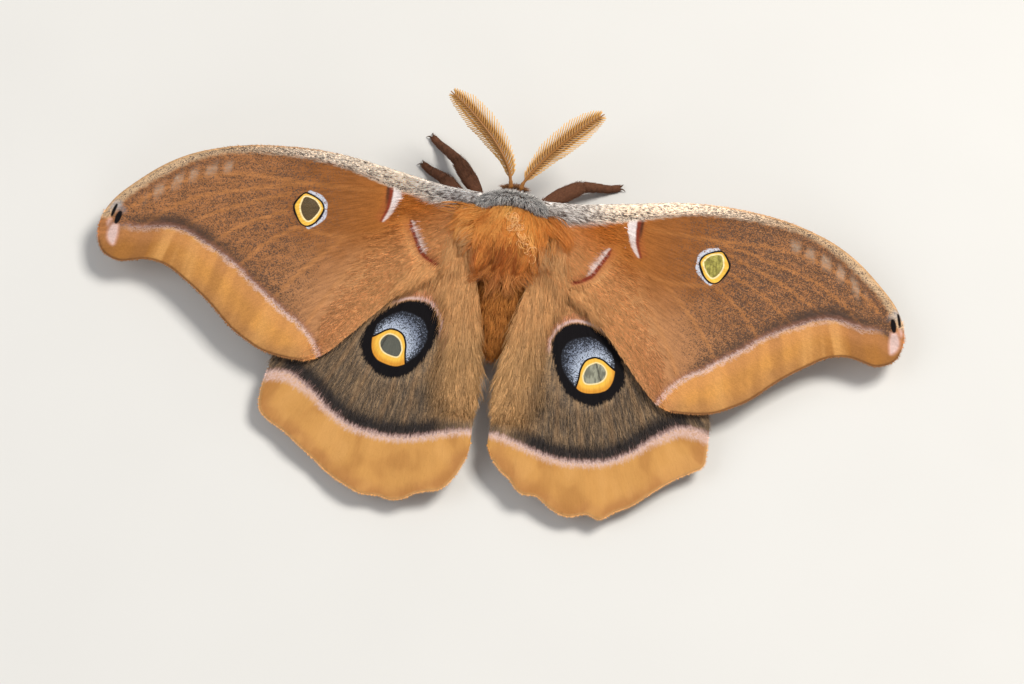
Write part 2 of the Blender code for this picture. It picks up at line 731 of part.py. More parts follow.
def leg(name, group):
    """Femur, flattened furry tibia, five jointed tarsus and two claws, with a flat under the foot."""
    hip, knee, ankle, heel, toe = (Vector(p) for p in LEGS[name])
    made = limb(name, group, [hip, hip.lerp(knee, 0.5), knee], FEMUR)
    pieces = collection(name + " pieces")
    ball("knee", pieces, knee, FEMUR[2] + 0.05, 10, 6)
    shin = [knee, knee.lerp(ankle, 0.35), knee.lerp(ankle, 0.8), ankle]
    limb("tibia", pieces, shin, TIBIA, LEG_SIDES, TIBIA_FLATNESS)
    line, radii = [], []
    for i in range(7):
        share = i / 6
        line.append(ankle.lerp(heel, share / 0.67) if share < 0.67 else heel.lerp(toe, share * 3 - 2))
        radii.append(TARSUS[0] + (TARSUS[1] - TARSUS[0]) * share + (TARSUS_BEAD if i % 2 else 0))
    limb("tarsus", pieces, line, radii, 8)
    forward = (toe - heel).normalized()
    side = forward.cross(Vector((0, 0, 1))).normalized()
    for way in (-1, 1):
        root = toe + side * way * 0.25 - forward * 0.1
        bend = root + (forward + side * way * 0.35).normalized() * CLAW_LENGTH * 0.6 + Vector((0, 0, 0.12))
        tip = bend + (forward * 0.5 + side * way * 0.3 - Vector((0, 0, 0.35))) * CLAW_LENGTH * 0.6
        limb("claw", pieces, [root, bend], (CLAW_RADIUS, CLAW_RADIUS * 0.8), 6, tip=tip)
    fuse(made, pieces)
    floor = collection("floor")
    bpy.ops.mesh.primitive_cube_add(size=0.1, location=(0, 0, -0.05))
    slab = bpy.context.object
    for holder in slab.users_collection:
        holder.objects.unlink(slab)
    floor.objects.link(slab)
    part_from(made, floor)
    drop(floor)
    return made


def hip_cutter(name, group):
    """The upper half of a leg, grown by the gap, for the socket that the leg sits in."""
    hip, knee = Vector(LEGS[name][0]), Vector(LEGS[name][1])
    back = (hip - knee).normalized() * GAP
    limb(name + " cutter", group, [hip + back, hip.lerp(knee, 0.5), knee], [r + GAP for r in FEMUR])


def helper(objects):
    for made in objects:
        made.hide_render = True
        made.display_type = "WIRE"


def main():
    clear_scene()
    moth = collection("silk moth")
    cutters = collection("cutters")
    coat_finish = finish("rust coat", RUST, 0.9)
    wing_finish = finish("wing scales", TAN, 0.85)
    leg_finish = finish("leg hair", UMBER, 0.85)
    feeler_finish = finish("feeler", GOLD, 0.7)
    eye_finish = finish("eye", DARK, 0.25)

    for side, label in ((-1, "left"), (1, "right")):
        for shape in (forewing, hindwing):
            made = shape(f"{shape.__name__}_{label}", moth, side)
            made.data.materials.append(wing_finish)
            shape(f"{shape.__name__} {label} cutter", cutters, side, GAP)
        made = feeler(f"antenna_{label}", moth, side)
        made.data.materials.clear()
        made.data.materials.append(feeler_finish)
        eye = ball(f"eye_{label}", moth, (side * EYE_PLACE[0], *EYE_PLACE[1:]), EYE_RADIUS, 14, 8)
        eye.data.materials.append(eye_finish)

    for name in LEGS:
        made = leg(name, moth)
        made.data.materials.clear()
        made.data.materials.append(leg_finish)
        hip_cutter(name, cutters)

    sockets = collection("head cutters")
    for side in (-1, 1):
        ball("eye cutter", sockets, (side * EYE_PLACE[0], *EYE_PLACE[1:]), EYE_RADIUS + GAP)
        root = smooth(FEELERS[side], 0.8)[:4]
        limb("feeler cutter", sockets, root, [SCAPE_RADIUS + GAP] * 4, 10)

    for shape, around in ((thorax, cutters), (abdomen, cutters), (head, sockets)):
        made = shape(moth, around)
        made.data.materials.clear()
        made.data.materials.append(coat_finish)
    for group in (cutters, sockets):
        group.hide_render = True
        helper(group.objects)

    stand = bpy.data.objects.new("moth", None)
    moth.objects.link(stand)
    stand.location = Vector((0, COLLAR_Y, 0)) * MM
    for made in moth.objects:
        if made is not stand:
            made.parent = stand


main()
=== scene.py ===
"""Looks of the silk moth: scaled wings, shaggy coat, feathered feelers, furry legs, on a pale floor.

Shapes are worked out in millimetres in the moth's own frame, whose y = 0 is the front of the grey collar, and
become metres in the frame's place when their mesh is made.
"""

import math

import bpy
import numpy as np
from mathutils import Matrix, Vector
from mathutils.geometry import delaunay_2d_cdt


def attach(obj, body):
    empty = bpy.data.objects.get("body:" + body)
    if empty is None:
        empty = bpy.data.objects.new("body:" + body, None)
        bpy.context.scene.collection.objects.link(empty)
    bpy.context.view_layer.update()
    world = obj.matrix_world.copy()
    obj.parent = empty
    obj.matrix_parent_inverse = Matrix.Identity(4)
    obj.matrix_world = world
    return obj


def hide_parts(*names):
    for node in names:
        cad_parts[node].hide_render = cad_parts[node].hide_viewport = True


MM = 0.001
COLLAR_Y = 17.7
rng = np.random.default_rng(7)

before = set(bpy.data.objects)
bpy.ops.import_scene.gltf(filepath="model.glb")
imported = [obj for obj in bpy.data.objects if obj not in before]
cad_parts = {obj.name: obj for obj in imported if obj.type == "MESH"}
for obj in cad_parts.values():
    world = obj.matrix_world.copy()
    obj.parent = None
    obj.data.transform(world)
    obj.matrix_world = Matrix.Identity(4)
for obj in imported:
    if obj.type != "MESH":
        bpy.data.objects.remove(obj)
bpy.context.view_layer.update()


# Camera, at the photograph's angle

CAMERA_AZIMUTH = -0.54
CAMERA_ELEVATION = 64.0
CAMERA_ROLL = 8.48
CAMERA_DISTANCE = 0.5223
CAMERA_TARGET = Vector((0.00286, -0.00424, 0.005))
CAMERA_LENS = 120.0


def set_camera():
    azimuth, elevation, roll = (math.radians(v) for v in (CAMERA_AZIMUTH, CAMERA_ELEVATION, CAMERA_ROLL))
    back = Vector(
        (
            math.sin(azimuth) * math.cos(elevation),
            -math.cos(azimuth) * math.cos(elevation),
            math.sin(elevation),
        )
    )
    right = Vector((math.cos(azimuth), math.sin(azimuth), 0))
    up = back.cross(right)
    turned = right * math.cos(roll) + up * math.sin(roll)
    made = bpy.data.cameras.new("camera")
    made.lens = CAMERA_LENS
    made.sensor_width = 36
    made.clip_start = 0.01
    holder = bpy.data.objects.new("camera", made)
    bpy.context.scene.collection.objects.link(holder)
    place = Matrix((turned, back.cross(turned), back)).transposed().to_4x4()
    place.translation = CAMERA_TARGET + back * CAMERA_DISTANCE
    holder.matrix_world = place
    bpy.context.scene.camera = holder


# Plan of the right wings, in millimetres: outlines, veins and marks

FOREWING_COSTA = (
    (4.4, 0.1), (10, 0.5), (15, 1.4), (20.3, 2.5), (25.3, 3.5), (30.4, 4.1), (35.5, 4.2), (40.6, 3.9),
    (45.7, 3.0), (50.8, 1.2), (55.8, -1.8), (60.0, -5.9), (62.2, -9.3),
)
FOREWING_MARGIN = (
    (62.8, -11.8), (62.4, -14.2), (61.2, -16.2), (58.8, -17.3), (56.8, -17.0), (54.3, -16.6),
    (51.2, -17.3), (48.1, -19.2), (44.0, -22.4), (39.9, -26.2), (36.8, -28.2), (34.3, -29.4), (31.3, -30.0),
    (28.3, -30.2),
)
FOREWING_INNER = (
    (26.3, -29.6), (23.8, -27.5), (19.4, -22.5), (16, -18.6), (12.5, -15.4), (9, -12.8), (6, -10.6),
    (4.4, -9.0),
)
HINDWING_COSTA = ((4.3, -6.2), (12, -7.4), (22, -12.5), (28.6, -19), (32.2, -25.0))
HINDWING_MARGIN = {
    -1: (
        (33.2, -31.0), (33.9, -35.3), (33.6, -38.1), (31.9, -39.7), (29.7, -41.0), (27.0, -43.1),
        (24.2, -45.0), (22.3, -46.5), (20.7, -47.6), (18.5, -48.8), (16.5, -49.5), (13.8, -49.4),
        (12.1, -49.8), (10.2, -49.5), (8.4, -48.5), (6.7, -48.0), (4.9, -47.4), (3.6, -46.0),
        (2.6, -44.3), (1.7, -42.1),
    ),
    1: (
        (34.2, -30.0), (34.4, -34.9), (34.1, -37.4), (32.3, -38.7), (30.0, -40.2), (27.2, -42.6),
        (24.3, -45.1), (21.7, -46.7), (19.5, -48.4), (17.4, -47.9), (14.7, -48.6), (12.1, -47.8),
        (9.7, -46.3), (7.8, -46.4), (6.4, -45.7), (5.2, -44.2), (3.9, -43.3), (2.4, -41.7),
    ),
}
HINDWING_INNER = (
    (1.3, -39.5), (1.4, -35), (1.8, -30), (2.4, -24.5), (3.0, -19), (3.7, -15), (4.4, -12), (4.6, -10.4),
)
CELL_TOP = (31.5, -1.6)
CELL_END = (32.5, -9.0)
FOREWING_VEINS = (
    ((7.5, -1.9), (18, -1.6), CELL_TOP, (42, -1.2), (51, -3.2), (58.5, -8.6)),
    (CELL_TOP, (40, -3.4), (49, -6.0), (56, -11.3), (58.6, -15.4)),
    ((34.3, -3.6), (43, -6.9), (50.5, -11.2), (54.2, -15.0)),
    ((34.6, -6.6), (42, -10.4), (48.5, -17.2)),
    (CELL_END, (38, -13.4), (43.4, -21.4)),
    ((7.5, -3.4), (15, -6.2), (24.5, -9.6), CELL_END),
    ((24.5, -9.6), (31, -16.5), (37.6, -26.2)),
    ((16, -6.8), (24, -16), (30.6, -28.6)),
    ((7.5, -5.4), (14, -12.5), (21, -20.8), (26.6, -28.2)),
)
HINDWING_VEINS = (
    ((8, -8.0), (18, -13.5), (27, -22.5), (32.9, -33.5)),
    ((9, -9.5), (17, -17), (25, -27), (32.2, -36.8)),
    ((17, -17), (22.5, -29), (28.3, -40.0)),
    ((14, -18.5), (18.5, -31), (22.8, -44.2)),
    ((12, -22.5), (14.6, -34), (17.2, -46.2)),
    ((7.5, -10.5), (9.4, -19), (11.2, -34), (11.8, -46.2)),
    ((6.2, -12), (6.8, -22), (6.8, -34), (6.0, -43.6)),
    ((5.2, -13.5), (4.4, -24), (3.6, -34), (3.1, -40.6)),
)
POSTMEDIAL_F = (
    (60.5, -12.2), (59.0, -11.4), (56.5, -11.6), (54.4, -11.3), (52.4, -11.0), (50.4, -11.2), (48.3, -11.9),
    (46.3, -13.0), (44.2, -14.1), (42.2, -15.3), (40.1, -16.8), (38.0, -18.6), (36.0, -20.1), (34.0, -21.6),
    (31.9, -23.2), (29.9, -24.4), (28.2, -26.0), (27.0, -27.4), (25.9, -29.4),
)
POSTMEDIAL_H = (
    (34.6, -32.6), (32.3, -32.2), (29.8, -32.3), (27.8, -33.5), (25.8, -35.0), (23.7, -37.0), (21.7, -38.3),
    (19.8, -39.3), (16.8, -40.1), (13.8, -40.4), (10.8, -40.2), (7.9, -39.5), (4.9, -38.6), (2.5, -38.1),
    (0.0, -37.8),
)
ANTE_UPPER = ((19.5, 0.4), (19.5, -1.0), (19.5, -2.1), (19.6, -3.5), (19.8, -4.6), (20.2, -5.6), (20.7, -6.8))
ANTE_LOWER = (
    (16.0, -5.7), (15.2, -7.3), (14.2, -9.1), (13.3, -10.6), (12.4, -11.3), (11.2, -11.9), (9.9, -12.4),
)
EYE_F = (32.0, -5.7)
EYE_F_REACH = 5
WINDOW_F = (
    (30.5, -5.4), (30.9, -4.8), (31.5, -4.2), (32.7, -3.8), (33.2, -4.0), (33.4, -4.8), (33.5, -5.5),
    (33.2, -6.5), (32.7, -7.3), (32.1, -7.7), (31.6, -7.5), (31.0, -6.7), (30.6, -5.9),
)
YELLOW_F = (
    (30.0, -5.4), (30.4, -4.6), (31.1, -4.0), (32.2, -3.5), (33.1, -3.3), (33.6, -3.8), (34.1, -4.6),
    (34.4, -5.4), (34.2, -6.2), (33.7, -7.2), (33.1, -8.1), (32.4, -8.5), (31.8, -8.4), (31.0, -7.8),
    (30.5, -6.9), (30.1, -6.0),
)
BLACK_F = (
    (29.7, -5.8), (29.9, -4.9), (30.4, -4.2), (31.3, -3.6), (32.2, -3.2), (33.0, -3.0), (33.7, -3.5),
    (34.3, -4.3), (34.7, -5.2), (34.5, -6.4), (33.9, -7.4), (33.2, -8.3), (32.4, -8.7), (31.7, -8.7),
    (30.8, -8.0), (30.1, -7.0),
)
BLUE_F = (
    (29.3, -6.4), (29.4, -5.5), (29.5, -4.5), (30.0, -3.8), (30.7, -3.2), (31.8, -2.9), (32.7, -2.9),
    (33.2, -5.5), (32.1, -8.9), (31.5, -8.9), (30.8, -8.4), (30.0, -7.7), (29.5, -7.1),
)
SPOTS_F = (
    ((60.4, -9.3), (60.8, -9.2), (61.3, -10.0), (61.4, -11.1), (61.1, -11.3), (60.7, -10.9), (60.4, -10.1)),
    ((61.2, -8.3), (61.5, -8.2), (61.9, -9.0), (62.1, -10.2), (61.9, -10.4), (61.65, -10.0), (61.4, -9.2)),
)
PATCHES_F = (
    (
        (60.7, -11.4), (61.6, -11.3), (62.1, -12.5), (62.0, -13.6), (61.5, -14.4), (60.9, -14.8),
        (60.7, -13.9), (60.6, -12.6),
    ),
    ((61.9, -10.7), (62.2, -10.7), (62.4, -11.1), (62.3, -11.6), (62.1, -11.1)),
)
EYE_H = (15.2, -24.6)
EYE_H_REACH = 9
WINDOW_H = (
    (14.3, -26.3), (14.7, -25.0), (15.4, -24.3), (16.3, -24.0), (17.2, -24.4), (17.7, -25.3), (17.4, -26.4),
    (16.5, -27.1), (14.8, -27.4),
)
OVAL_H = (
    (10.5, -22.8), (11.7, -20.9), (14.5, -19.9), (16.6, -20.6), (18.4, -22.2), (19.0, -24.0), (18.9, -26.5),
    (18.0, -28.1), (16.4, -28.8), (14.8, -29.0), (13.5, -28.5), (11.6, -26.8), (10.6, -24.7),
)
ARCH_H = (
    (11.9, -33.5), (12.9, -30.8), (13.4, -28.5), (13.7, -26.8), (13.8, -25.4), (14.4, -23.9), (15.6, -23.2),
    (16.9, -23.3), (18.0, -24.0), (18.9, -24.6), (20.8, -25.5), (24.0, -27.0),
)
EGG_H = (
    (8.8, -21.6), (9.6, -19.8), (10.8, -18.6), (12.4, -18.0), (14.8, -18.3), (17.4, -19.8), (19.6, -22.2),
    (20.7, -24.8), (20.6, -26.9), (19.5, -28.8), (17.8, -30.3), (16.2, -31.0), (14.0, -30.7), (12.3, -29.7),
    (11.0, -28.2), (9.9, -26.0), (9.1, -23.7),
)
TIP_REACH = 4
EGG_CENTRE = (14.6, -24.6)
EGG_HALF = (6.2, 6.7)
PATTERN_SHIFT = {(False, -1): 1.2, (True, -1): 0.7, (False, 1): 0.0, (True, 1): 0.0}

ROOT_X = 5.0
ROOT_Z = 10.2
DIHEDRAL = 0.045
DROOP = 0.0005
PITCH = 0.11
WING_STEP = 1.25
FLOW_FOCUS = {True: (9.0, 6.0), False: (-4.0, 2.5)}
FLOW_REACH = 40
FLOW_APART = 200
PLEAT_DEPTH = 0.35
PLEATS = {True: (34.0, 14.0, 26), False: (40.0, 20.0, 34)}
COSTA_ROLL = 1.7
COSTA_WIDTH = 2.4
MEMBRANE_HALF = 0.17
VEIN_HEIGHT = 0.12


def curve(points, step):
    """Points about a step apart on a smooth curve through the landmarks."""
    p = np.array([points[0], *points, points[-1]], float)
    found = []
    for a, b, c, d in zip(p, p[1:], p[2:], p[3:]):
        count = max(1, int(round(np.linalg.norm(c - b) / step)))
        t = (np.arange(count) / count)[:, None]
        squares, cubes = 2 * a - 5 * b + 4 * c - d, 3 * b - a - 3 * c + d
        found.append(0.5 * (2 * b + (c - a) * t + squares * t**2 + cubes * t**3))
    found.append(p[-1:])
    return np.concatenate(found)


def measure(p, line):
    """Distance of points of the plan to a line, which side they lie on, and how far along it."""
    a, d = line[:-1], np.diff(line, axis=0)
    squared = (d**2).sum(1)
    t = np.clip(((p[:, None] - a) * d).sum(2) / squared, 0, 1)
    gap = p[:, None] - a - t[..., None] * d
    away = (gap**2).sum(2)
    best = away.argmin(1)
    rows = np.arange(len(p))
    side = np.sign(d[best, 0] * gap[rows, best, 1] - d[best, 1] * gap[rows, best, 0])
    lengths = np.sqrt(squared)
    start = np.concatenate([[0], np.cumsum(lengths)[:-1]])
    return np.sqrt(away[rows, best]), side, start[best] + t[rows, best] * lengths[best]


def distance(p, line):
    return measure(p, line)[0]


def nearest(p, lines):
    return np.min([distance(p, line) for line in lines], axis=0)


def closed(loop):
    return np.vstack([loop, loop[:1]])


def inside(p, loop):
    """Whether points of the plan lie inside a closed line."""
    a, b = loop, np.roll(loop, -1, 0)
    crosses = (a[:, 1] > p[:, None, 1]) != (b[:, 1] > p[:, None, 1])
    with np.errstate(divide="ignore", invalid="ignore"):
        at = a[:, 0] + (b[:, 0] - a[:, 0]) * (p[:, None, 1] - a[:, 1]) / (b[:, 1] - a[:, 1])
    return (crosses & (p[:, None, 0] < at)).sum(1) % 2 == 1


def signed(p, loop, centre, reach):
    """Distance of points to a closed smooth shape, less than 0 inside; points beyond reach all get that."""
    far = np.full(len(p), float(reach))
    close = np.hypot(*(p - centre).T) < reach + 3
    if close.any():
        line = curve((*loop, loop[0]), 0.3)
        away = distance(p[close], line)
        far[close] = np.where(inside(p[close], line[:-1]), -away, away)
    return np.minimum(far, reach)


def soft(x, low, high):
    """0 at low and 1 at high, smooth between."""
    t = np.clip((x - low) / (high - low), 0, 1)
    return t * t * (3 - 2 * t)


def wing_height(p, hind):
    """Height of the middle of a wing, with its slopes and the pleats that fan out from its root."""
    out = p[:, 0] - ROOT_X
    z = ROOT_Z - DIHEDRAL * out - DROOP * out * np.abs(out) + PITCH * p[:, 1] - (WING_STEP if hind else 0)
    reach = np.hypot(out, p[:, 1] + 5)
    start, span, waves = PLEATS[hind]
    depth = np.clip((reach - start) / span, 0, 1)
    if hind:
        depth = depth * np.where(p[:, 0] > 29, np.clip((34.5 - p[:, 0]) / 5.5, 0, 1), 1)
    return z + PLEAT_DEPTH * depth * np.sin(np.arctan2(out, -5 - p[:, 1]) * waves)


class Wing:
    """What both faces and the hair of one wing are made from."""

    def __init__(self, hind, side):
        self.hind, self.side = hind, side
        front = HINDWING_COSTA if hind else FOREWING_COSTA
        rim = HINDWING_MARGIN[side] if hind else FOREWING_MARGIN
        inner = HINDWING_INNER if hind else FOREWING_INNER
        self.costa, self.margin, self.inner = (curve(line, 0.8) for line in (front, rim, inner))
        self.outline = curve(front + rim + inner, 0.42)
        self.veins = [curve(line, 1.0) for line in (HINDWING_VEINS if hind else FOREWING_VEINS)]
        self.post = curve(POSTMEDIAL_H if hind else POSTMEDIAL_F, 0.7)

    def half(self, p):
        """Half the thickness at points of the plan: the membrane, its veins and the rolled front edge."""
        h = np.full(len(p), MEMBRANE_HALF)
        h += VEIN_HEIGHT * np.exp(-((nearest(p, self.veins) / 0.3) ** 2))
        if not self.hind:
            depth = distance(p, self.costa) / COSTA_WIDTH
            swell = 1 - 0.7 * np.clip((p[:, 0] - ROOT_X) / 50, 0, 1)
            roll = 0.1 + COSTA_ROLL / 2 * swell * np.sqrt(np.clip(1 - (depth - 0.45) ** 2 / 0.31, 0, 1))
            h = np.where(depth < 1, np.maximum(h, roll), h)
        edge = distance(p, closed(self.outline))
        return h * (0.45 + 0.55 * soft(edge, 0, 0.5))

    def lifted(self, p, z):
        """Points in space at places of the right wing's plan, mirrored on the left."""
        return np.column_stack([p[:, 0] * self.side, p[:, 1], z])

    def top(self, p):
        """Points in space of the wing's upper face."""
        return self.lifted(p, wing_height(p, self.hind) + self.half(p))

    def flow(self, p):
        """The lie of the scales and hair, which fans out of a point near the root."""
        d = p - FLOW_FOCUS[self.hind]
        return d / np.linalg.norm(d, axis=1)[:, None], d

    def fields(self, p):
        """Distances and masks, in millimetres, that the wing's colours are mixed from."""
        _, d = self.flow(p)
        reach = np.linalg.norm(d, axis=1)
        turn = np.arctan2(d[:, 1], d[:, 0])
        gap, side, _ = measure(p, self.post)
        made = {
            "post": gap * side,
            "edge": distance(p, self.margin),
            "inner": distance(p, self.inner),
            "costa": distance(p, self.costa),
            "vein": nearest(p, self.veins),
            "out": p[:, 0],
            "out_signed": p[:, 0] * self.side,
            "back": -p[:, 1],
            "plan": self.lifted(p, np.zeros(len(p))),
            "flow": np.column_stack([turn * FLOW_REACH + FLOW_APART * self.side, reach, np.zeros(len(p))]),
        }
        return made | (self.hind_fields(p) if self.hind else self.fore_fields(p))

    def pattern_place(self, p):
        """The right wing's place whose markings stand here, as the two wings of a pair differ a little."""
        shift = PATTERN_SHIFT[self.hind, self.side] * np.sin(math.pi * p[:, 0] / (34 if self.hind else 62))
        return p + np.column_stack([shift, 0 * shift])

    def off_marks(self, p, room=2.2, ahead=((0, 0),)):
        """Density that keeps the forewing's pale bars free, also of locks that reach ahead over them."""
        bars = [curve(ANTE_UPPER, 0.5), curve(ANTE_LOWER, 0.5)]
        gaps = [nearest(self.pattern_place(p + step), bars) for step in ahead]
        return soft(np.min(gaps, axis=0), 0.3 * room, room)

    def fore_fields(self, p):
        """Distances to the forewing's eyespot, pale bars and marks at the tip, and how wide the bars are."""
        at = self.pattern_place(p)
        tip = p + (0.9 * (self.side < 0), 0)
        upper, upper_side, run = measure(at, curve(ANTE_UPPER, 0.5))
        lower, lower_side, low_run = measure(at, curve(ANTE_LOWER, 0.5))
        first = upper < lower
        near = np.minimum(upper, lower) < 1.6
        white = np.interp(run, (1.0, 2.6, 3.3, 4.8, 6.2, 7.0, 7.4), (1.2, 1.6, 1.15, 0.85, 0.55, 0.25, 0))
        white_low = np.interp(low_run, (0, 0.6, 2.5, 4.8, 6.0, 6.6), (0.1, 0.6, 0.8, 0.9, 0.4, 0))
        maroon = np.interp(run, (0.8, 2.6, 7.2, 7.4), (0.75, 0.65, 0.3, 0))
        maroon_low = np.interp(low_run, (0, 1, 5, 8.6, 9.1), (0.2, 0.5, 0.65, 0.6, 0))
        rings = {"eye": WINDOW_F, "yellow": YELLOW_F, "black": BLACK_F, "blue": BLUE_F}
        return {key: signed(at, loop, EYE_F, EYE_F_REACH) for key, loop in rings.items()} | {
            "ante": np.where(first, upper * upper_side, lower * lower_side),
            "white": np.where(first, white, white_low) * near,
            "maroon": np.where(first, maroon, maroon_low) * near,
            "spots": np.min([signed(tip, loop, (61, -10), TIP_REACH) for loop in SPOTS_F], axis=0),
            "patch": np.min([signed(tip, loop, (61, -12), TIP_REACH) for loop in PATCHES_F], axis=0),
        }

    def hind_fields(self, p):
        """Distances to the rings of the large eyespot."""
        at = self.pattern_place(p)
        gap, side, _ = measure(at, curve(ARCH_H, 0.3))
        return {
            "eye": signed(at, WINDOW_H, EYE_H, EYE_H_REACH),
            "yellow": signed(at, OVAL_H, EYE_H, EYE_H_REACH),
            "arch": gap * side,
            "black": signed(at, EGG_H, EYE_H, EYE_H_REACH),
            "eggside": np.clip((at - EGG_CENTRE) @ (-0.5, 0.85), -9, 9) / 7,
        }


# Meshes from arrays


LOCK_PATCH = 0.003
ROOT_SINK = 0.35
MAP_EDGE = 0.005
UP = np.array((0.0, 0.0, 1.0))


def place(points):
    """From millimetres in the moth's own frame to metres in the frame's place."""
    return (np.asarray(points, float) + (0, COLLAR_Y, 0)) * MM


def add_mesh(name, points, faces, materials, slot, fields=None, indices=None):
    """A mesh object of triangles, with its float and vector attributes, riding on the body."""
    faces = np.asarray(faces, np.int32)
    mesh = bpy.data.meshes.new(name)
    mesh.vertices.add(len(points))
    mesh.vertices.foreach_set("co", place(points).astype(np.float32).ravel())
    mesh.loops.add(faces.size)
    mesh.loops.foreach_set("vertex_index", faces.ravel())
    mesh.polygons.add(len(faces))
    mesh.polygons.foreach_set("loop_start", np.arange(0, faces.size, 3, dtype=np.int32))
    mesh.update(calc_edges=True)
    mesh.validate()
    mesh.shade_smooth()
    for material in materials:
        mesh.materials.append(material)
    if indices is not None:
        mesh.polygons.foreach_set("material_index", np.asarray(indices, np.int32))
    for key, values in (fields or {}).items():
        values = np.asarray(values, np.float32)
        kind = "FLOAT" if values.ndim == 1 else "FLOAT_VECTOR"
        made = mesh.attributes.new(key, kind, "POINT")
        made.data.foreach_set("value" if values.ndim == 1 else "vector", values.ravel())
    holder = bpy.data.objects.new(name, mesh)
    bpy.context.scene.collection.objects.link(holder)
    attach(holder, "root")
    return holder


def unit(v):
    return v / np.maximum(np.linalg.norm(v, axis=-1, keepdims=True), 1e-9)


def gathered(roots, heads, length, tufts, pull):
    """Directions and lengths of locks whose tips draw together into tufts."""
    heads = unit(heads)
    lead = rng.choice(len(roots), tufts, replace=False)
    tips = roots + heads * length[:, None]
    middle = roots + heads * length[:, None] * 0.4
    own = np.array([((middle[lead] - spot) ** 2).sum(1).argmin() for spot in middle])
    aim = tips + pull * (tips[lead][own] - tips) - roots
    return aim, np.linalg.norm(aim, axis=1)


def add_strands(name, spine, side, normals, width, material, slot, uv, fields, floor=None):
    """A coat piece: one thin closed tapered lock round each spine, given as points from root to tip.

    uv holds each root's place on an unwrap of the skin, at any scale. Every lock is a small patch there."""
    rings, count = len(spine) - 1, len(side)
    share = np.linspace(0, 1, rings + 1)
    columns = []
    for i, t in enumerate(share[:-1]):
        w = (width * (0.75 + 0.25 * math.sin(math.pi * min(1, t + 0.35))) * (1 - 0.55 * t))[:, None]
        columns += [spine[i] - side * w / 2, spine[i] + side * w / 2, spine[i] + normals * w * 0.3]
    columns.append(spine[-1])
    per = len(columns)
    points = np.stack(columns, 1).reshape(-1, 3)
    if floor is not None:
        points[:, 2] = np.maximum(points[:, 2], floor)
    faces = [(0, 1, 2)]
    for i in range(rings - 1):
        for j in range(3):
            a, b = 3 * i + j, 3 * i + (j + 1) % 3
            faces += [(a, b + 3, b), (a, a + 3, b + 3)]
    last = 3 * (rings - 1)
    faces += [(last + j, per - 1, last + (j + 1) % 3) for j in range(3)]
    triangles = (np.array(faces)[None] + (np.arange(count) * per)[:, None, None]).reshape(-1, 3)
    along = np.repeat(share[:-1], 3).tolist() + [1.0]
    made = {}
    for key, values in ({"tone": rng.uniform(0, 1, count), "hair": np.ones(count)} | (fields or {})).items():
        made[key] = np.repeat(values, per, axis=0)
    made.setdefault("tip", np.tile(along, count))
    holder = add_mesh(name, points, triangles, [material], slot, made)
    corners = np.array([(0, 0), (1, 0), (0.5, 0.6)] * rings + [(0.5, 1)]) - 0.5
    corners[:, 1] = np.array(along) - 0.5
    uv = MAP_EDGE + (1 - 2 * MAP_EDGE) * (uv - uv.min(0)) / np.ptp(uv, axis=0).max()
    patch = np.repeat(uv, per, 0) + np.tile(corners, (count, 1)) * LOCK_PATCH
    layer = holder.data.uv_layers.new(name="OFBake")
    layer.data.foreach_set("uv", patch[triangles.ravel()].astype(np.float32).ravel())


def add_hair(name, roots, normals, heads, length, width, material, slot, uv, fields=None, *, lift, rings,
             bend=0.15, sink=0.15, floor=None):
    """Locks that each leave the skin at a root and bend along their lie."""
    count = len(roots)
    length = np.broadcast_to(np.asarray(length, float), count)
    width = np.broadcast_to(np.asarray(width, float), count)
    normals = unit(normals)
    heads = unit(heads - normals * (heads * normals).sum(1, keepdims=True))
    side = np.cross(heads, normals)
    sway = rng.normal(0, bend, count)
    spine = []
    for t in np.linspace(0, 1, rings + 1):
        up = lift * length * (math.sin(math.pi * min(t, 0.5)) * 0.85 + 0.15 * t)
        spine.append(
            roots - normals * sink * (1 - t) + heads * (length * t)[:, None] + normals * up[:, None]
            + side * (sway * length * t**2)[:, None]
        )
    add_strands(name, spine, side, normals, width, material, slot, uv, fields, floor)


# Node materials


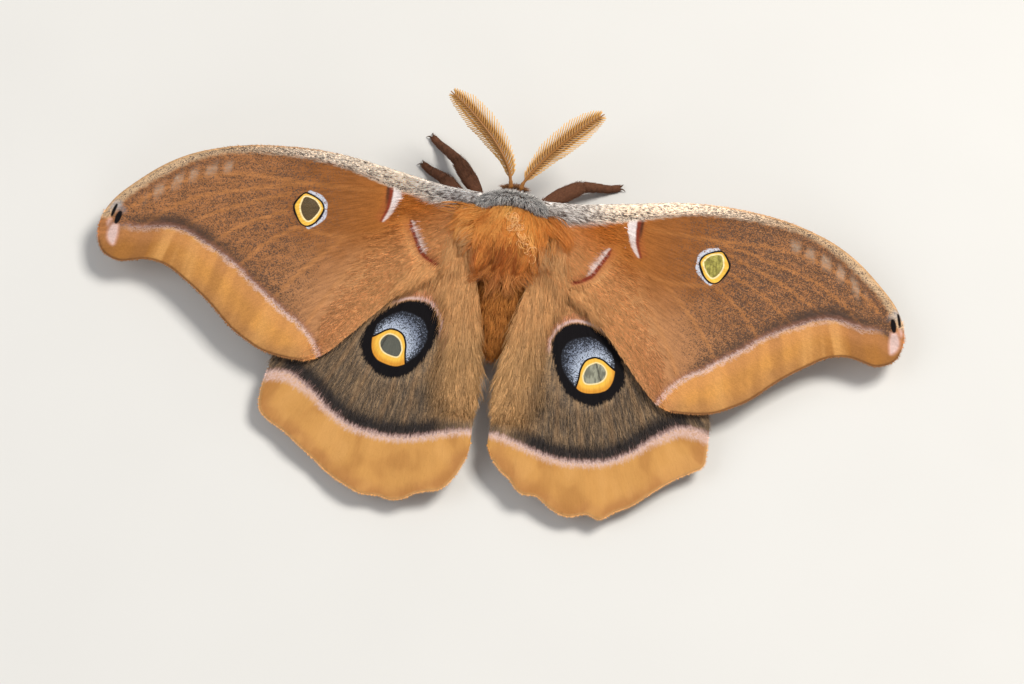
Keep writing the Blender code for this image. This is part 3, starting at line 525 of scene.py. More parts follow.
class Paint:
    """One node material: masks come from attributes, in millimetres, and colours are laid over each other."""

    def __init__(self, name):
        self.material = bpy.data.materials.new(name)
        self.material.use_nodes = True
        self.tree = self.material.node_tree
        self.shader = self.tree.nodes["Principled BSDF"]
        self.colour = None

    def wire(self, socket, value):
        """Links a socket to another node, or sets it to a number or a colour."""
        if isinstance(value, bpy.types.NodeSocket):
            self.tree.links.new(value, socket)
        elif isinstance(value, tuple) and len(value) == 3 and socket.type == "RGBA":
            socket.default_value = (*value, 1)
        else:
            socket.default_value = value

    def attribute(self, name, output):
        node = self.tree.nodes.new("ShaderNodeAttribute")
        node.attribute_name = name
        return node.outputs[output]

    def __getitem__(self, name):
        """The values of an attribute of the mesh."""
        return self.attribute(name, "Fac")

    def vectors(self, name):
        return self.attribute(name, "Vector")

    def object_place(self):
        return self.tree.nodes.new("ShaderNodeTexCoord").outputs["Object"]

    def math(self, kind, a, b=0.0, c=0.0):
        node = self.tree.nodes.new("ShaderNodeMath")
        node.operation = kind
        for socket, value in zip(node.inputs, (a, b, c)):
            self.wire(socket, value)
        return node.outputs[0]

    def plus(self, a, b):
        return self.math("ADD", a, b)

    def minus(self, a, b):
        return self.math("SUBTRACT", a, b)

    def scaled(self, value, factor, start):
        """The value times a factor, counted from a start."""
        return self.math("MULTIPLY_ADD", value, factor, start)

    def times(self, *factors):
        made = factors[0]
        for factor in factors[1:]:
            made = self.math("MULTIPLY", made, factor)
        return made

    def step(self, value, low, high):
        """0 below low, 1 above high, smooth between, and the other way round where low is the greater."""
        node = self.tree.nodes.new("ShaderNodeMapRange")
        node.interpolation_type = "SMOOTHSTEP"
        for key, socket in ((value, 0), (low, 1), (high, 2)):
            self.wire(node.inputs[socket], key)
        return node.outputs[0]

    def band(self, value, low, high, blur):
        """1 between low and high."""
        rising = self.step(value, self.minus(low, blur), self.plus(low, blur))
        falling = self.step(value, self.plus(high, blur), self.minus(high, blur))
        return self.times(rising, falling)

    def noise(self, where, scale, stretch=(1, 1, 1), detail=2.0, roughness=0.5):
        """Soft noise, drawn out by stretch along the axes."""
        stretched = self.tree.nodes.new("ShaderNodeVectorMath")
        stretched.operation = "MULTIPLY"
        self.wire(stretched.inputs[0], where)
        stretched.inputs[1].default_value = stretch
        node = self.tree.nodes.new("ShaderNodeTexNoise")
        self.wire(node.inputs["Vector"], stretched.outputs[0])
        node.inputs["Scale"].default_value = scale
        node.inputs["Detail"].default_value = detail
        node.inputs["Roughness"].default_value = roughness
        return node.outputs["Fac"]

    def cells(self, where, scale):
        """A random value for each small cell, for single scales of another colour."""
        node = self.tree.nodes.new("ShaderNodeTexVoronoi")
        self.wire(node.inputs["Vector"], where)
        node.inputs["Scale"].default_value = scale
        apart = self.tree.nodes.new("ShaderNodeSeparateColor")
        self.tree.links.new(node.outputs["Color"], apart.inputs[0])
        return apart.outputs[0]

    def vector(self, x, y):
        node = self.tree.nodes.new("ShaderNodeCombineXYZ")
        self.wire(node.inputs[0], x)
        self.wire(node.inputs[1], y)
        return node.outputs[0]

    def mixed(self, fac, a, b):
        """a where fac is 0 and b where it is 1."""
        node = self.tree.nodes.new("ShaderNodeMix")
        node.data_type = "RGBA"
        self.wire(node.inputs["Factor"], fac)
        self.wire(node.inputs["A"], a)
        self.wire(node.inputs["B"], b)
        return node.outputs["Result"]

    def lay(self, fac, colour):
        """Lays a colour over what is there, as thick as fac."""
        self.colour = self.mixed(fac, self.colour, colour)

    def shade(self, fac):
        """Multiplies the colour by a value."""
        node = self.tree.nodes.new("ShaderNodeVectorMath")
        node.operation = "SCALE"
        self.wire(node.inputs[0], self.colour)
        self.wire(node.inputs["Scale"], fac)
        self.colour = node.outputs[0]

    def finish(self, roughness, specular, bump=None, bump_depth=0.05, sheen=0.0):
        """Wires the colour and the relief, whose depth is in millimetres, and gives back the material."""
        self.wire(self.shader.inputs["Base Color"], self.colour)
        self.wire(self.shader.inputs["Roughness"], roughness)
        self.shader.inputs["Specular IOR Level"].default_value = specular
        self.shader.inputs["Sheen Weight"].default_value = sheen
        if bump is not None:
            node = self.tree.nodes.new("ShaderNodeBump")
            node.inputs["Distance"].default_value = bump_depth * MM
            node.inputs["Strength"].default_value = 0.8
            self.wire(node.inputs["Height"], bump)
            self.tree.links.new(node.outputs[0], self.shader.inputs["Normal"])
        return self.material


# Painted light on the wings' hair locks, which makes up for the shade between the locks.
HAIR_PAINTED_LIGHT = 0.75
LUNULE_START = 44.4
LUNULE_SPACING = 2.5
ORANGE = (0.455, 0.145, 0.022)
BROWN = (0.272, 0.095, 0.024)
DISTAL = (0.40, 0.165, 0.060)
ROSE = (0.42, 0.195, 0.084)
SAND = (0.54, 0.28, 0.115)
FORE_MARGIN = (0.57, 0.265, 0.070)
FORE_RIM = (0.42, 0.20, 0.068)
HIND_MARGIN = (0.54, 0.27, 0.080)
HIND_RIM = (0.42, 0.19, 0.062)
CREAM = (0.88, 0.75, 0.61)
PINK = (0.62, 0.44, 0.40)
WHITE = (0.70, 0.61, 0.59)
MAROON = (0.20, 0.036, 0.018)
BLACK = (0.007, 0.006, 0.007)
SOOT = (0.026, 0.023, 0.024)
YELLOW = (0.80, 0.46, 0.07)
PALE_YELLOW = (0.85, 0.68, 0.36)
BLUE = (0.21, 0.245, 0.33)
OLIVE = (0.26, 0.23, 0.055)
OLIVE_GREY = (0.15, 0.15, 0.10)
TAN = (0.36, 0.20, 0.085)
MEDIAL = (0.115, 0.085, 0.062)
# Painted shade laid on hair where shade is given.
PAINTED_SHADE_RUST = (0.25, 0.07, 0.02)


def window(paint, colour, painted_shade_tint, eye):
    """The clear scaleless window of an eyespot, seen through a thin tinted membrane; on the left wings it
    takes a darker tint, painted shade.
    """
    clear = paint.step(eye, 0.05, -0.07)
    plan = paint.vectors("plan")
    streak = paint.noise(plan, 1.6, (1.7, 0.5, 1), 2)
    tint = paint.mixed(paint.step(streak, 0.4, 0.62), colour, tuple(1.9 * c for c in colour))
    # Painted shade: the left wings' windows take a darker tint.
    tint = paint.mixed(paint.step(paint["out_signed"], 1, -1), tint, painted_shade_tint)
    paint.lay(clear, tint)
    paint.lay(paint.times(clear, paint.step(paint["vein"], 0.2, 0.06), 0.6), SOOT)
    paint.wire(paint.shader.inputs["Alpha"], paint.minus(1.0, paint.times(clear, 0.3)))
    return clear


def grain_over(paint, amount, colour, grain, blur):
    """Lays single scales of a colour, on the share of the cells that amount gives."""
    edge = paint.scaled(amount, -1 - 2 * blur, 1 + blur)
    mask = paint.step(grain, paint.minus(edge, blur), paint.plus(edge, blur))
    paint.lay(mask, colour)


def painted_fold_shading(paint, margin, wave, amount, light, dark):
    """Painted shading of soft folds that run across the margin: painted light on one side and painted shade
    on the other.
    """
    margin = paint.mixed(paint.times(paint.step(wave, 0.50, 0.34), amount), margin, dark)
    return paint.mixed(paint.times(paint.step(wave, 0.50, 0.66), amount), margin, light)


def forewing_top():
    """The forewing's scales, from the plain orange base out to the margin and then the marks over them."""
    paint = Paint("forewing scales")
    plan, flow = paint.vectors("plan"), paint.vectors("flow")
    out, back, costa = paint["out"], paint["back"], paint["costa"]
    fray = paint.minus(paint.noise(flow, 3.2, (1, 0.28, 1), 3, 0.65), 0.5)
    wander = paint.minus(paint.noise(plan, 0.35, detail=2), 0.5)
    streak = paint.step(paint.noise(flow, 2.7, (1, 0.13, 1), 3, 0.7), 0.34, 0.66)
    clump = paint.noise(plan, 0.9, detail=3, roughness=0.6)
    grain = paint.cells(plan, 8.5)
    fine = paint.cells(plan, 7.6)

    post = paint.plus(paint["post"], paint.times(fray, 1.0))
    paint.colour = paint.mixed(paint.step(out, 8.0, 26.0), ORANGE, BROWN)
    low = paint.step(paint.plus(back, paint.times(wander, 6)), 7.0, 20.0)
    paint.lay(paint.times(low, paint.step(out, 8.0, 18.0)), ROSE)
    sandy = paint.times(paint.step(paint["inner"], 11.5, 3.5), paint.step(out, 30.0, 16.0))
    paint.lay(paint.times(sandy, 0.9), SAND)
    far = paint.step(paint.plus(out, paint.times(wander, 8)), 28.0, 42.0)
    paint.lay(far, DISTAL)
    vein = paint["vein"]
    paint.lay(paint.times(paint.step(vein, 0.6, 0.1), paint.step(out, 14, 34), 0.34), (0.50, 0.21, 0.065))

    haze = paint.times(paint.step(out, 19.0, 38.0), paint.step(paint["inner"], 1.0, 12.0))
    near_line = paint.times(paint.step(post, -6.0, -1.0), paint.step(out, 24.0, 36.0))
    haze = paint.math("MAXIMUM", paint.times(haze, 0.52), paint.times(near_line, 0.64))
    haze = paint.plus(haze, 0.05)
    clear = paint.scaled(paint.step(vein, 0.0, 0.6), 0.42, 0.58)
    sparse = paint.scaled(paint.step(paint["out_signed"], -20, -40), -0.22, 1.0)
    haze = paint.times(haze, paint.plus(clump, 0.5), clear, sparse, paint.step(out, 61.8, 60.6))
    paint.lay(paint.times(haze, 0.3), (0.19, 0.095, 0.052))
    grain_over(paint, haze, (0.105, 0.058, 0.038), fine, 0.3)
    lighter = paint.minus(1.0, fine)
    grain_over(paint, paint.times(haze, 0.25), (0.44, 0.23, 0.105), lighter, 0.2)
    dark = paint.scaled(paint.band(out, 43, 57, 5), 0.7, 0.3)
    shadow = paint.times(paint.step(post, -3.2, -0.7), paint.step(out, 61, 54), paint.step(out, 26, 34), dark)
    paint.lay(paint.times(shadow, paint.scaled(fine, -0.4, 0.95)), (0.045, 0.032, 0.028))
    ragged = paint.scaled(clump, 1.6, paint.minus(costa, 0.8))
    row = paint.times(paint.band(ragged, 2.7, 4.2, 0.9), paint.band(out, 43.4, 56.0, 1.0))
    turns = math.tau / LUNULE_SPACING
    phase = paint.scaled(wander, 3.5, -LUNULE_START * turns)
    spaced = paint.math("COSINE", paint.scaled(out, turns, phase))
    lunules = paint.times(row, paint.step(spaced, -1.0, 0.6), paint.scaled(clump, 1.0, 0.15))
    paint.lay(paint.times(lunules, paint.scaled(fine, 0.6, 0.35)), (0.50, 0.36, 0.26))
    beside_belt = paint.times(paint.band(costa, 1.9, 2.5, 0.4), paint.band(out, 45, 59, 2))
    paint.lay(paint.times(beside_belt, 0.35), (0.12, 0.06, 0.04))

    rim = paint["edge"]
    turned = paint.step(paint.plus(rim, paint.times(wander, 3)), 0.3, 3.2)
    margin = paint.mixed(turned, FORE_RIM, FORE_MARGIN)
    margin = paint.mixed(paint.step(out, 42, 56), margin, (0.345, 0.145, 0.036))
    strong = paint.scaled(paint.step(out, 30, 46), 0.4, 0.2)
    across = paint.vector(paint.scaled(post, -0.22, out), paint.times(back, 0.08))
    wave = paint.noise(across, 0.36, detail=2, roughness=0.35)
    # Painted light and painted shade of folds across the margin.
    margin = painted_fold_shading(paint, margin, wave, strong, (0.66, 0.34, 0.11), (0.27, 0.115, 0.038))
    margin = paint.mixed(paint.step(rim, 0.4, 0.05), margin, (0.20, 0.09, 0.035))
    paint.lay(paint.step(post, -0.2, 0.3), margin)
    paint.lay(paint.times(paint.step(post, 0.2, 0.9), paint.step(post, 3.5, 1.2), 0.25), (0.60, 0.26, 0.12))
    red_line = paint.times(paint.band(post, -0.8, -0.1, 0.35), paint.step(out, 61, 57))
    paint.lay(paint.times(red_line, 0.4), (0.28, 0.12, 0.08))
    broken = paint.scaled(paint.noise(plan, 0.6, detail=2), 1.3, -0.15)
    pale = paint.times(paint.band(post, -0.3, broken, 0.3), paint.step(fine, 0.0, 0.5))
    pale = paint.times(pale, paint.step(out, 60.5, 57), paint.scaled(paint.step(out, 50, 34), 0.35, 0.4))
    paint.lay(pale, PINK)

    ante = paint.plus(paint["ante"], paint.times(fray, 0.3))
    white, maroon = paint["white"], paint["maroon"]
    haze_red = paint.band(ante, -0.9, 1.3, 0.5)
    paint.lay(paint.times(haze_red, paint.step(maroon, 0.1, 0.4), 0.4), (0.34, 0.09, 0.03))
    wide = paint.times(white, -1.0)
    chalk = paint.scaled(paint.step(white, 0.85, 1.15), 0.25, 0.75)
    paint.lay(paint.times(paint.band(ante, wide, 0.02, 0.2), paint.step(white, 0.1, 0.3), chalk), WHITE)
    paint.lay(paint.times(paint.band(ante, 0.0, maroon, 0.22), paint.step(maroon, 0.1, 0.3)), MAROON)
    outer = paint.band(ante, paint.times(maroon, 0.8), paint.plus(maroon, 0.35), 0.2)
    outer = paint.times(outer, paint.step(maroon, 0.3, 0.6), paint.step(costa, 7.5, 4.0), 0.8)
    paint.lay(outer, (0.05, 0.02, 0.014))

    belt = paint.times(paint.minus(1.2, paint.math("DIVIDE", out, 62.0)), 2.55)
    belt = paint.plus(belt, paint.times(fray, 1.1))
    belt = paint.scaled(paint.step(out, 30, 12), 0.75, belt)
    belt = paint.scaled(paint.step(out, 44, 56), 0.8, belt)
    grey = paint.mixed(paint.step(out, 9.0, 18.0), (0.66, 0.62, 0.59), CREAM)
    grey = paint.mixed(paint.step(out, 28.0, 46.0), grey, (0.55, 0.37, 0.22))
    on_belt = paint.step(paint.minus(costa, belt), 0.45, -0.45)
    paint.lay(on_belt, grey)
    density = paint.scaled(paint.step(out, 17.0, 8.0), 0.12, 0.26)
    density = paint.plus(density, paint.times(paint.step(costa, 0.8, 2.4), 0.18))
    density = paint.plus(density, paint.times(paint.band(out, 33, 50, 8), 0.18))
    grain_over(paint, paint.times(density, on_belt), (0.12, 0.088, 0.072), grain, 0.12)
    brink = paint.times(paint.step(costa, 0.55, 0.2), paint.step(out, 22, 34))
    paint.lay(paint.times(brink, 0.7), (0.66, 0.38, 0.18))

    spots = paint["spots"]
    flare = paint.times(paint.step(spots, 1.1, 0.1), paint.step(back, 10.0, 8.4))
    paint.lay(paint.times(flare, 0.6), (0.33, 0.34, 0.37))
    paint.lay(paint.step(paint["patch"], 0.5, -0.3), (0.62, 0.36, 0.29))
    paint.lay(paint.step(paint["patch"], 0.1, -0.3), PINK)
    paint.lay(paint.step(spots, 0.1, -0.12), BLACK)

    blue = paint.step(paint["blue"], 0.12, -0.08)
    paint.lay(paint.times(blue, paint.step(fine, 0.05, 0.3)), (0.50, 0.52, 0.60))
    paint.lay(paint.step(paint["black"], 0.08, -0.08), BLACK)
    paint.lay(paint.step(paint["yellow"], 0.06, -0.06), YELLOW)
    eye = paint["eye"]
    paint.lay(paint.step(eye, 0.34, 0.12), PALE_YELLOW)
    window(paint, OLIVE, (0.115, 0.074, 0.034), eye)

    depth = paint.scaled(paint.step(post, -0.3, 0.4), -0.22, 0.32)
    paint.shade(paint.scaled(paint.minus(streak, 0.5), depth, 1.0))
    paint.shade(paint.scaled(fine, 0.2, 0.9))
    paint.shade(paint.scaled(paint["tone"], 0.3, 0.85))
    # Painted light: hair locks are brightened to make up for the shade between them.
    paint.shade(paint.scaled(paint["hair"], HAIR_PAINTED_LIGHT, 1.0))
    relief = paint.plus(paint.noise(flow, 5.0, (1, 0.25, 1), 3), paint.times(grain, 0.25))
    return paint.finish(0.75, 0.06, relief, 0.08)


def hindwing_top():
    """The hindwing's streaked middle, dark band, golden margin and large eyespot."""
    paint = Paint("hindwing scales")
    plan, flow = paint.vectors("plan"), paint.vectors("flow")
    out, back, inner = paint["out"], paint["back"], paint["inner"]
    fray = paint.minus(paint.noise(flow, 4.0, (1, 0.22, 1), 3, 0.65), 0.5)
    wander = paint.minus(paint.noise(plan, 0.3, detail=2), 0.5)
    streak = paint.noise(flow, 3.2, (1, 0.09, 1), 3, 0.65)
    grain = paint.cells(plan, 5.5)
    post = paint.plus(paint["post"], paint.times(fray, 1.8))

    paint.colour = paint.mixed(paint.step(streak, 0.36, 0.66), MEDIAL, (0.25, 0.165, 0.095))
    near = paint.plus(inner, paint.times(wander, 5))
    tan = paint.mixed(paint.step(streak, 0.35, 0.65), TAN, (0.50, 0.29, 0.13))
    paint.lay(paint.times(paint.step(near, 9.0, 2.5), paint.step(post, -0.8, -3.0)), tan)
    paint.lay(paint.times(paint.step(back, 25.0, 15.0), 0.92), SAND)
    sooty = paint.times(paint.step(grain, 0.74, 0.8), paint.step(near, 2, 8), paint.step(back, 14, 22))
    paint.lay(paint.times(sooty, 0.5), SOOT)
    paint.lay(paint.times(paint.step(paint["vein"], 0.6, 0.1), 0.3), (0.34, 0.20, 0.10))
    band = paint.times(paint.step(post, -3.6, -1.7), paint.step(inner, 1.5, 7.0), paint.step(out, 33.5, 29.5))
    paint.lay(paint.times(band, 0.93), SOOT)

    rim = paint["edge"]
    turned = paint.step(paint.plus(rim, paint.times(wander, 3)), 0.3, 3.0)
    wave = paint.noise(flow, 0.3, (1, 0.5, 1), 2, 0.4)
    # Painted light and painted shade of folds across the margin.
    margin = painted_fold_shading(
        paint, paint.mixed(turned, HIND_RIM, HIND_MARGIN), wave, 0.6, (0.60, 0.31, 0.10), (0.39, 0.175, 0.05)
    )
    margin = paint.mixed(paint.step(rim, 0.5, 0.0), margin, (0.52, 0.28, 0.11))
    paint.lay(paint.step(post, -0.35, 0.1), margin)
    paint.lay(paint.times(paint.band(post, -0.8, -0.1, 0.3), 0.3), (0.32, 0.14, 0.11))
    broad = paint.scaled(paint.step(out, 24, 31), 0.7, 0.55)
    paint.lay(paint.times(paint.band(post, -0.5, broad, 0.5), paint.scaled(grain, 0.5, 0.45)), PINK)

    above = paint.step(paint["eggside"], 0.45, 0.8)
    shifted = paint.times(fray, paint.scaled(above, -1.0, 1.9))
    egg = paint.plus(paint["black"], shifted)
    paint.lay(paint.times(paint.band(egg, 0.0, 1.3, 0.4), above, 0.5), (0.50, 0.20, 0.11))
    paint.lay(paint.times(paint.band(egg, 0.1, 0.5, 0.2), above), PINK)
    paint.lay(paint.step(egg, 0.15, -0.3), BLACK)
    oval = paint.plus(paint["yellow"], paint.times(fray, 0.5))
    arch = paint["arch"]
    within = paint.step(oval, 0.0, -0.3)
    speckle = paint.cells(plan, 8.0)
    light = paint.scaled(paint.step(arch, 4.2, 0.0), 0.66, 0.14)
    light = paint.times(light, paint.step(oval, 0.2, -1.6))
    dots = paint.step(speckle, paint.plus(light, 0.25), paint.minus(light, 0.25))
    blue = paint.mixed(paint.step(arch, 2.4, 0.1), BLUE, (0.46, 0.52, 0.64))
    paint.lay(paint.times(within, paint.scaled(dots, 0.85, 0.08)), blue)
    eye = paint["eye"]
    paint.lay(paint.times(paint.step(arch, 0.22, 0.12), paint.step(oval, 0.2, 0.0)), BLACK)
    golden = paint.times(paint.step(arch, -0.06, -0.16), paint.step(paint["yellow"], 0.05, -0.12))
    paint.lay(golden, paint.mixed(paint.step(eye, 1.3, 0.5), (0.62, 0.27, 0.035), YELLOW))
    paint.lay(paint.step(eye, 0.3, 0.1), PALE_YELLOW)
    window(paint, (0.22, 0.22, 0.17), (0.13, 0.135, 0.115), eye)

    depth = paint.scaled(paint.step(post, -0.3, 0.4), -0.48, 0.6)
    paint.shade(paint.scaled(paint.minus(streak, 0.5), depth, 1.0))
    paint.shade(paint.scaled(paint["tone"], 0.5, 0.75))
    # Painted light: hair locks are brightened to make up for the shade between them.
    paint.shade(paint.scaled(paint["hair"], HAIR_PAINTED_LIGHT, 1.0))
    relief = paint.plus(paint.noise(flow, 4.2, (1, 0.18, 1), 3), paint.times(grain, 0.25))
    return paint.finish(0.75, 0.05, relief, 0.10)


def underside(hind):
    """The paler, mottled lower face, with the same windows showing through."""
    paint = Paint("hindwing underside" if hind else "forewing underside")
    plan, flow = paint.vectors("plan"), paint.vectors("flow")
    wander = paint.minus(paint.noise(plan, 0.3, detail=3), 0.5)
    post = paint.plus(paint["post"], paint.times(wander, 2))
    paint.colour = paint.mixed(paint.noise(plan, 0.5, detail=4), (0.36, 0.20, 0.12), (0.52, 0.36, 0.26))
    paint.lay(paint.step(post, -0.6, 1.2), (0.50, 0.29, 0.15))
    paint.lay(paint.times(paint.band(post, -1.8, -0.6, 0.5), 0.7), (0.16, 0.09, 0.06))
    paint.lay(paint.times(paint.band(post, -7.5, -5.0, 1.2), 0.4), (0.22, 0.12, 0.08))
    paint.lay(paint.times(paint.step(paint.cells(plan, 4.0), 0.8, 0.85), 0.6), (0.10, 0.06, 0.045))
    eye = paint["eye"]
    paint.lay(paint.step(eye, 0.75, 0.65), (0.20, 0.10, 0.06))
    paint.lay(paint.step(eye, 0.5, 0.4), YELLOW)
    window(paint, OLIVE_GREY if hind else OLIVE, OLIVE_GREY, eye)
    paint.shade(paint.scaled(paint.noise(flow, 3.0, (1, 0.16, 1), 2), 0.4, 0.8))
    return paint.finish(0.8, 0.06, paint.noise(flow, 4.0, (1, 0.3, 1), 3), 0.1)


def fur_material(name, light, dark):
    """Hair mixed between two colours lock by lock, with grey, tan and golden places (over the thorax partly
    painted sunlight), pale painted glints, painted shade where shade is given and towards the roots, and
    painted light towards the tips.
    """
    paint = Paint(name)
    tone, tip = paint["tone"], paint["tip"]
    paint.colour = paint.mixed(tone, dark, light)
    paint.lay(paint["tan"], paint.mixed(tone, (0.44, 0.22, 0.085), (0.76, 0.46, 0.22)))
    paint.lay(paint["gold"], paint.mixed(tone, (0.92, 0.30, 0.045), (1.0, 0.56, 0.16)))
    # pale: painted glints on the curls.
    paint.lay(paint["pale"], paint.mixed(tone, (0.90, 0.60, 0.27), (0.97, 0.84, 0.60)))
    grey = paint.mixed(tone, (0.24, 0.225, 0.22), (0.98, 0.94, 0.90))
    paint.lay(paint["grey"], paint.mixed(paint.step(tone, 0.30, 0.34), SOOT, grey))
    # shade: painted shade, a darker rust laid where shade falls in the coat.
    paint.lay(paint["shade"], PAINTED_SHADE_RUST)
    # Painted shade towards the roots and painted light towards the tips.
    paint.shade(paint.scaled(tip, 0.65, 0.58))
    return paint.finish(0.7, 0.12)


def skin_material(name, light, dark):
    """Plain skin, mottled finely between two colours."""
    paint = Paint(name)
    fine = paint.noise(paint.object_place(), 3000, detail=3)
    paint.colour = paint.mixed(paint.step(fine, 0.35, 0.65), dark, light)
    return paint.finish(0.8, 0.1, fine, 0.1)


# Wings

WING_GRID = 0.45
FINE_PLACES = {True: (((15.0, -24.6), 7.0),), False: ((EYE_F, 4.2), ((60.8, -11.0), 4.2))}


def hex_fill(outline, step):
    """Places of a grid of equal triangles inside an outline."""
    low, high = outline.min(0), outline.max(0)
    rise = step * math.sqrt(3) / 2
    rows = np.arange(int((high[1] - low[1]) / rise) + 1)
    columns = np.arange(int((high[0] - low[0]) / step) + 2)
    x = low[0] + (columns[None] + 0.5 * (rows[:, None] % 2)) * step
    y = np.broadcast_to(low[1] + rows[:, None] * rise, x.shape)
    p = np.column_stack([x.ravel(), y.ravel()])
    p = p[inside(p, outline)]
    return p[distance(p, closed(outline)) > 0.55 * step]


def add_wing(wing, name, top_material, under_material):
    """One closed sheet with an upper and a lower face, whose grid is finer round the eyespot and the tip."""
    fill = hex_fill(wing.outline, WING_GRID)
    turn = np.arange(60) * math.tau / 60
    for centre, reach in FINE_PLACES[wing.hind]:
        ring = np.array(centre) + reach * np.column_stack([np.cos(turn), np.sin(turn)])
        fill = fill[~inside(fill, ring)]
        fine = hex_fill(ring, WING_GRID * 0.5)
        fine = fine[inside(fine, wing.outline)]
        far = distance(fine, closed(wing.outline)) > 0.3 * WING_GRID
        fill = np.vstack([fill, fine[far]])
    flat = np.vstack([wing.outline, fill])
    count = len(wing.outline)
    edges = [(i, (i + 1) % count) for i in range(count)]
    points, _, faces, *_ = delaunay_2d_cdt([Vector(p) for p in flat], edges, [], 1, 1e-5)
    p = np.array([tuple(v) for v in points])
    faces = np.array(faces)
    a, b, c = (p[faces[:, i]] for i in range(3))
    turned = (b[:, 0] - a[:, 0]) * (c[:, 1] - a[:, 1]) - (b[:, 1] - a[:, 1]) * (c[:, 0] - a[:, 0]) < 0
    faces[turned] = faces[turned][:, ::-1]
    faces = faces[:, :: wing.side]
    z, h = wing_height(p, wing.hind), wing.half(p)
    sides = np.sort(np.vstack([faces[:, [0, 1]], faces[:, [1, 2]], faces[:, [2, 0]]]), axis=1)
    found, counts = np.unique(sides, axis=0, return_counts=True)
    rim = set(map(tuple, found[counts == 1]))
    around = ((int(s), int(e)) for f in faces for s, e in zip(f, np.roll(f, -1)))
    ordered = [(s, e) for s, e in around if (min(s, e), max(s, e)) in rim]
    n = len(p)
    walls = [w for s, e in ordered for w in ((s, s + n, e + n), (s, e + n, e))]
    everything = np.vstack([faces, faces[:, ::-1] + n, np.array(walls)])
    indices = np.r_[np.zeros(len(faces)), np.ones(len(faces)), np.zeros(len(walls))]
    fields = {k: np.concatenate([v, v]) for k, v in wing.fields(p).items()}
    fields["plan"][:, 2] = np.r_[z + h, z - h]
    fields |= {"tone": np.full(2 * n, 0.5), "tip": np.zeros(2 * n), "hair": np.zeros(2 * n)}
    points = np.vstack([wing.lifted(p, z + h), wing.lifted(p, z - h)])
    made = add_mesh(name, points, everything, [top_material, under_material], "wings", fields, indices)
    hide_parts(name)


def scatter(wing, count, test):
    """Random places on a wing where test, which gives a density from 0 to 1, lets them stand."""
    low, high = wing.outline.min(0), wing.outline.max(0)
    found = np.zeros((0, 2))
    while len(found) < count:
        p = rng.uniform(low, high, (4 * count, 2))
        p = p[rng.uniform(0, 1, len(p)) < test(p)]
        if len(p):
            found = np.vstack([found, p[inside(p, wing.outline)]])
    return found[:count]


def wing_hair(wing, name, count, test, length, width, material, lift, rings=2, heads=None, tufts=0, pull=0.0):
    """Short locks that lie along the wing's scales, where test lets them stand."""
    p = scatter(wing, count, test)
    way = wing.flow(p)[0] if heads is None else heads(p)
    turn = rng.normal(0, 0.12, len(p))
    cos, sin = np.cos(turn), np.sin(turn)
    way = np.column_stack([way[:, 0] * cos - way[:, 1] * sin, way[:, 0] * sin + way[:, 1] * cos])
    roots = wing.top(p)
    ahead = wing.top(p + way * 0.3)
    direction = unit(ahead - roots)
    size = length(p)
    fields = wing.fields(p + way * size[:, None] * 0.5)
    if tufts:
        direction, size = gathered(roots, direction, size, tufts, pull)
    add_hair(name, roots, np.tile(UP, (len(p), 1)), direction, size, rng.uniform(0.8, 1.2, len(p)) * width,
             material, "wings", p, fields, lift=lift, rings=rings, bend=0.12, sink=0.06)


def clear_of_egg(p, grow, *ahead):
    """Whether places, and those ahead of them on the lock's way back, lie outside the hindwing's eyespot."""
    gaps = [np.hypot(*((p + (0, step) - EGG_CENTRE) / EGG_HALF).T) for step in ahead]
    return np.all(np.array(gaps) > grow, axis=0)


def inner_lie(p):
    """The lie of the hindwing's long inner hair, as an angle from straight back, towards the margin."""
    return 0.02 + 0.035 * (p[:, 0] - 5) - 0.22 * soft(p[:, 0], 5.5, 2.0)


def band_edge(p):
    """How far back the hindwing's long hair reaches: to the dark band, at the wing's place across."""
    line = np.array(POSTMEDIAL_H[::-1])
    return np.interp(p[:, 0], line[:, 0], line[:, 1]) + 1.7


def forewing_hair(wing, label, material):
    """Hair at the base, along the inner margin and over the front edge, and long hair over the root."""
    side = wing.side
    wing_hair(
        wing, f"forewing_base_hair_{label}", 7600,
        lambda p: soft(p[:, 0] + 0.35 * p[:, 1], 20, 7) * (distance(p, wing.costa) > 2.2) * wing.off_marks(p),
        lambda p: np.interp(p[:, 0], (4, 10, 18, 24), (3.4, 2.5, 1.4, 1.0)) * rng.uniform(0.7, 1.1, len(p)),
        0.08, material, lift=0.08, tufts=500, pull=0.25,
    )
    turned = np.array((-0.2, -0.5))
    wing_hair(
        wing, f"forewing_inner_hair_{label}", 5600,
        lambda p: soft(distance(p, wing.inner), 6.5, 0.3) * (p[:, 0] < 26) * wing.off_marks(p),
        lambda p: rng.uniform(0.9, 1.7, len(p)) * (0.45 + 0.55 * soft(distance(p, wing.inner), 0.3, 2.5)),
        0.08, material, lift=0.08,
        heads=lambda p: unit(wing.flow(p)[0] + turned * soft(distance(p, wing.inner), 5, 0)[:, None]),
    )
    wing_hair(
        wing, f"forewing_costa_hair_{label}", 11000,
        lambda p: (distance(p, wing.costa) < 2.7 * (1.1 - p[:, 0] / 75)) * soft(p[:, 0], 52, 20),
        lambda p: np.interp(p[:, 0], (4, 20, 50), (1.0, 0.75, 0.5)) * rng.uniform(0.75, 1.1, len(p)),
        0.11, material, lift=0.08, rings=1,
    )
    reach = [(0.3 * step, -step) for step in (0, 1, 2, 3)]
    p = scatter(
        wing, 2400,
        lambda p: soft(distance(p, wing.inner), 3.6, 0.3) * soft(p[:, 0], 17, 11)
        * wing.off_marks(p, 1.3, reach),
    )
    combed(
        f"wing_root_hair_{label}", p * (side, 1), lambda q: side * (0.3 + inner_lie(q * (side, 1))),
        rng.uniform(1.8, 3.6, len(p)), 0.075, material, "wings",
        lambda q: wing.fields(q * (side, 1) + (0.3, -1.2)) | {"hair": np.full(len(q), 0.6)},
        rings=3, lift=0.2, depth=0.4, tufts=90, pull=0.25, wave=0.1,
    )


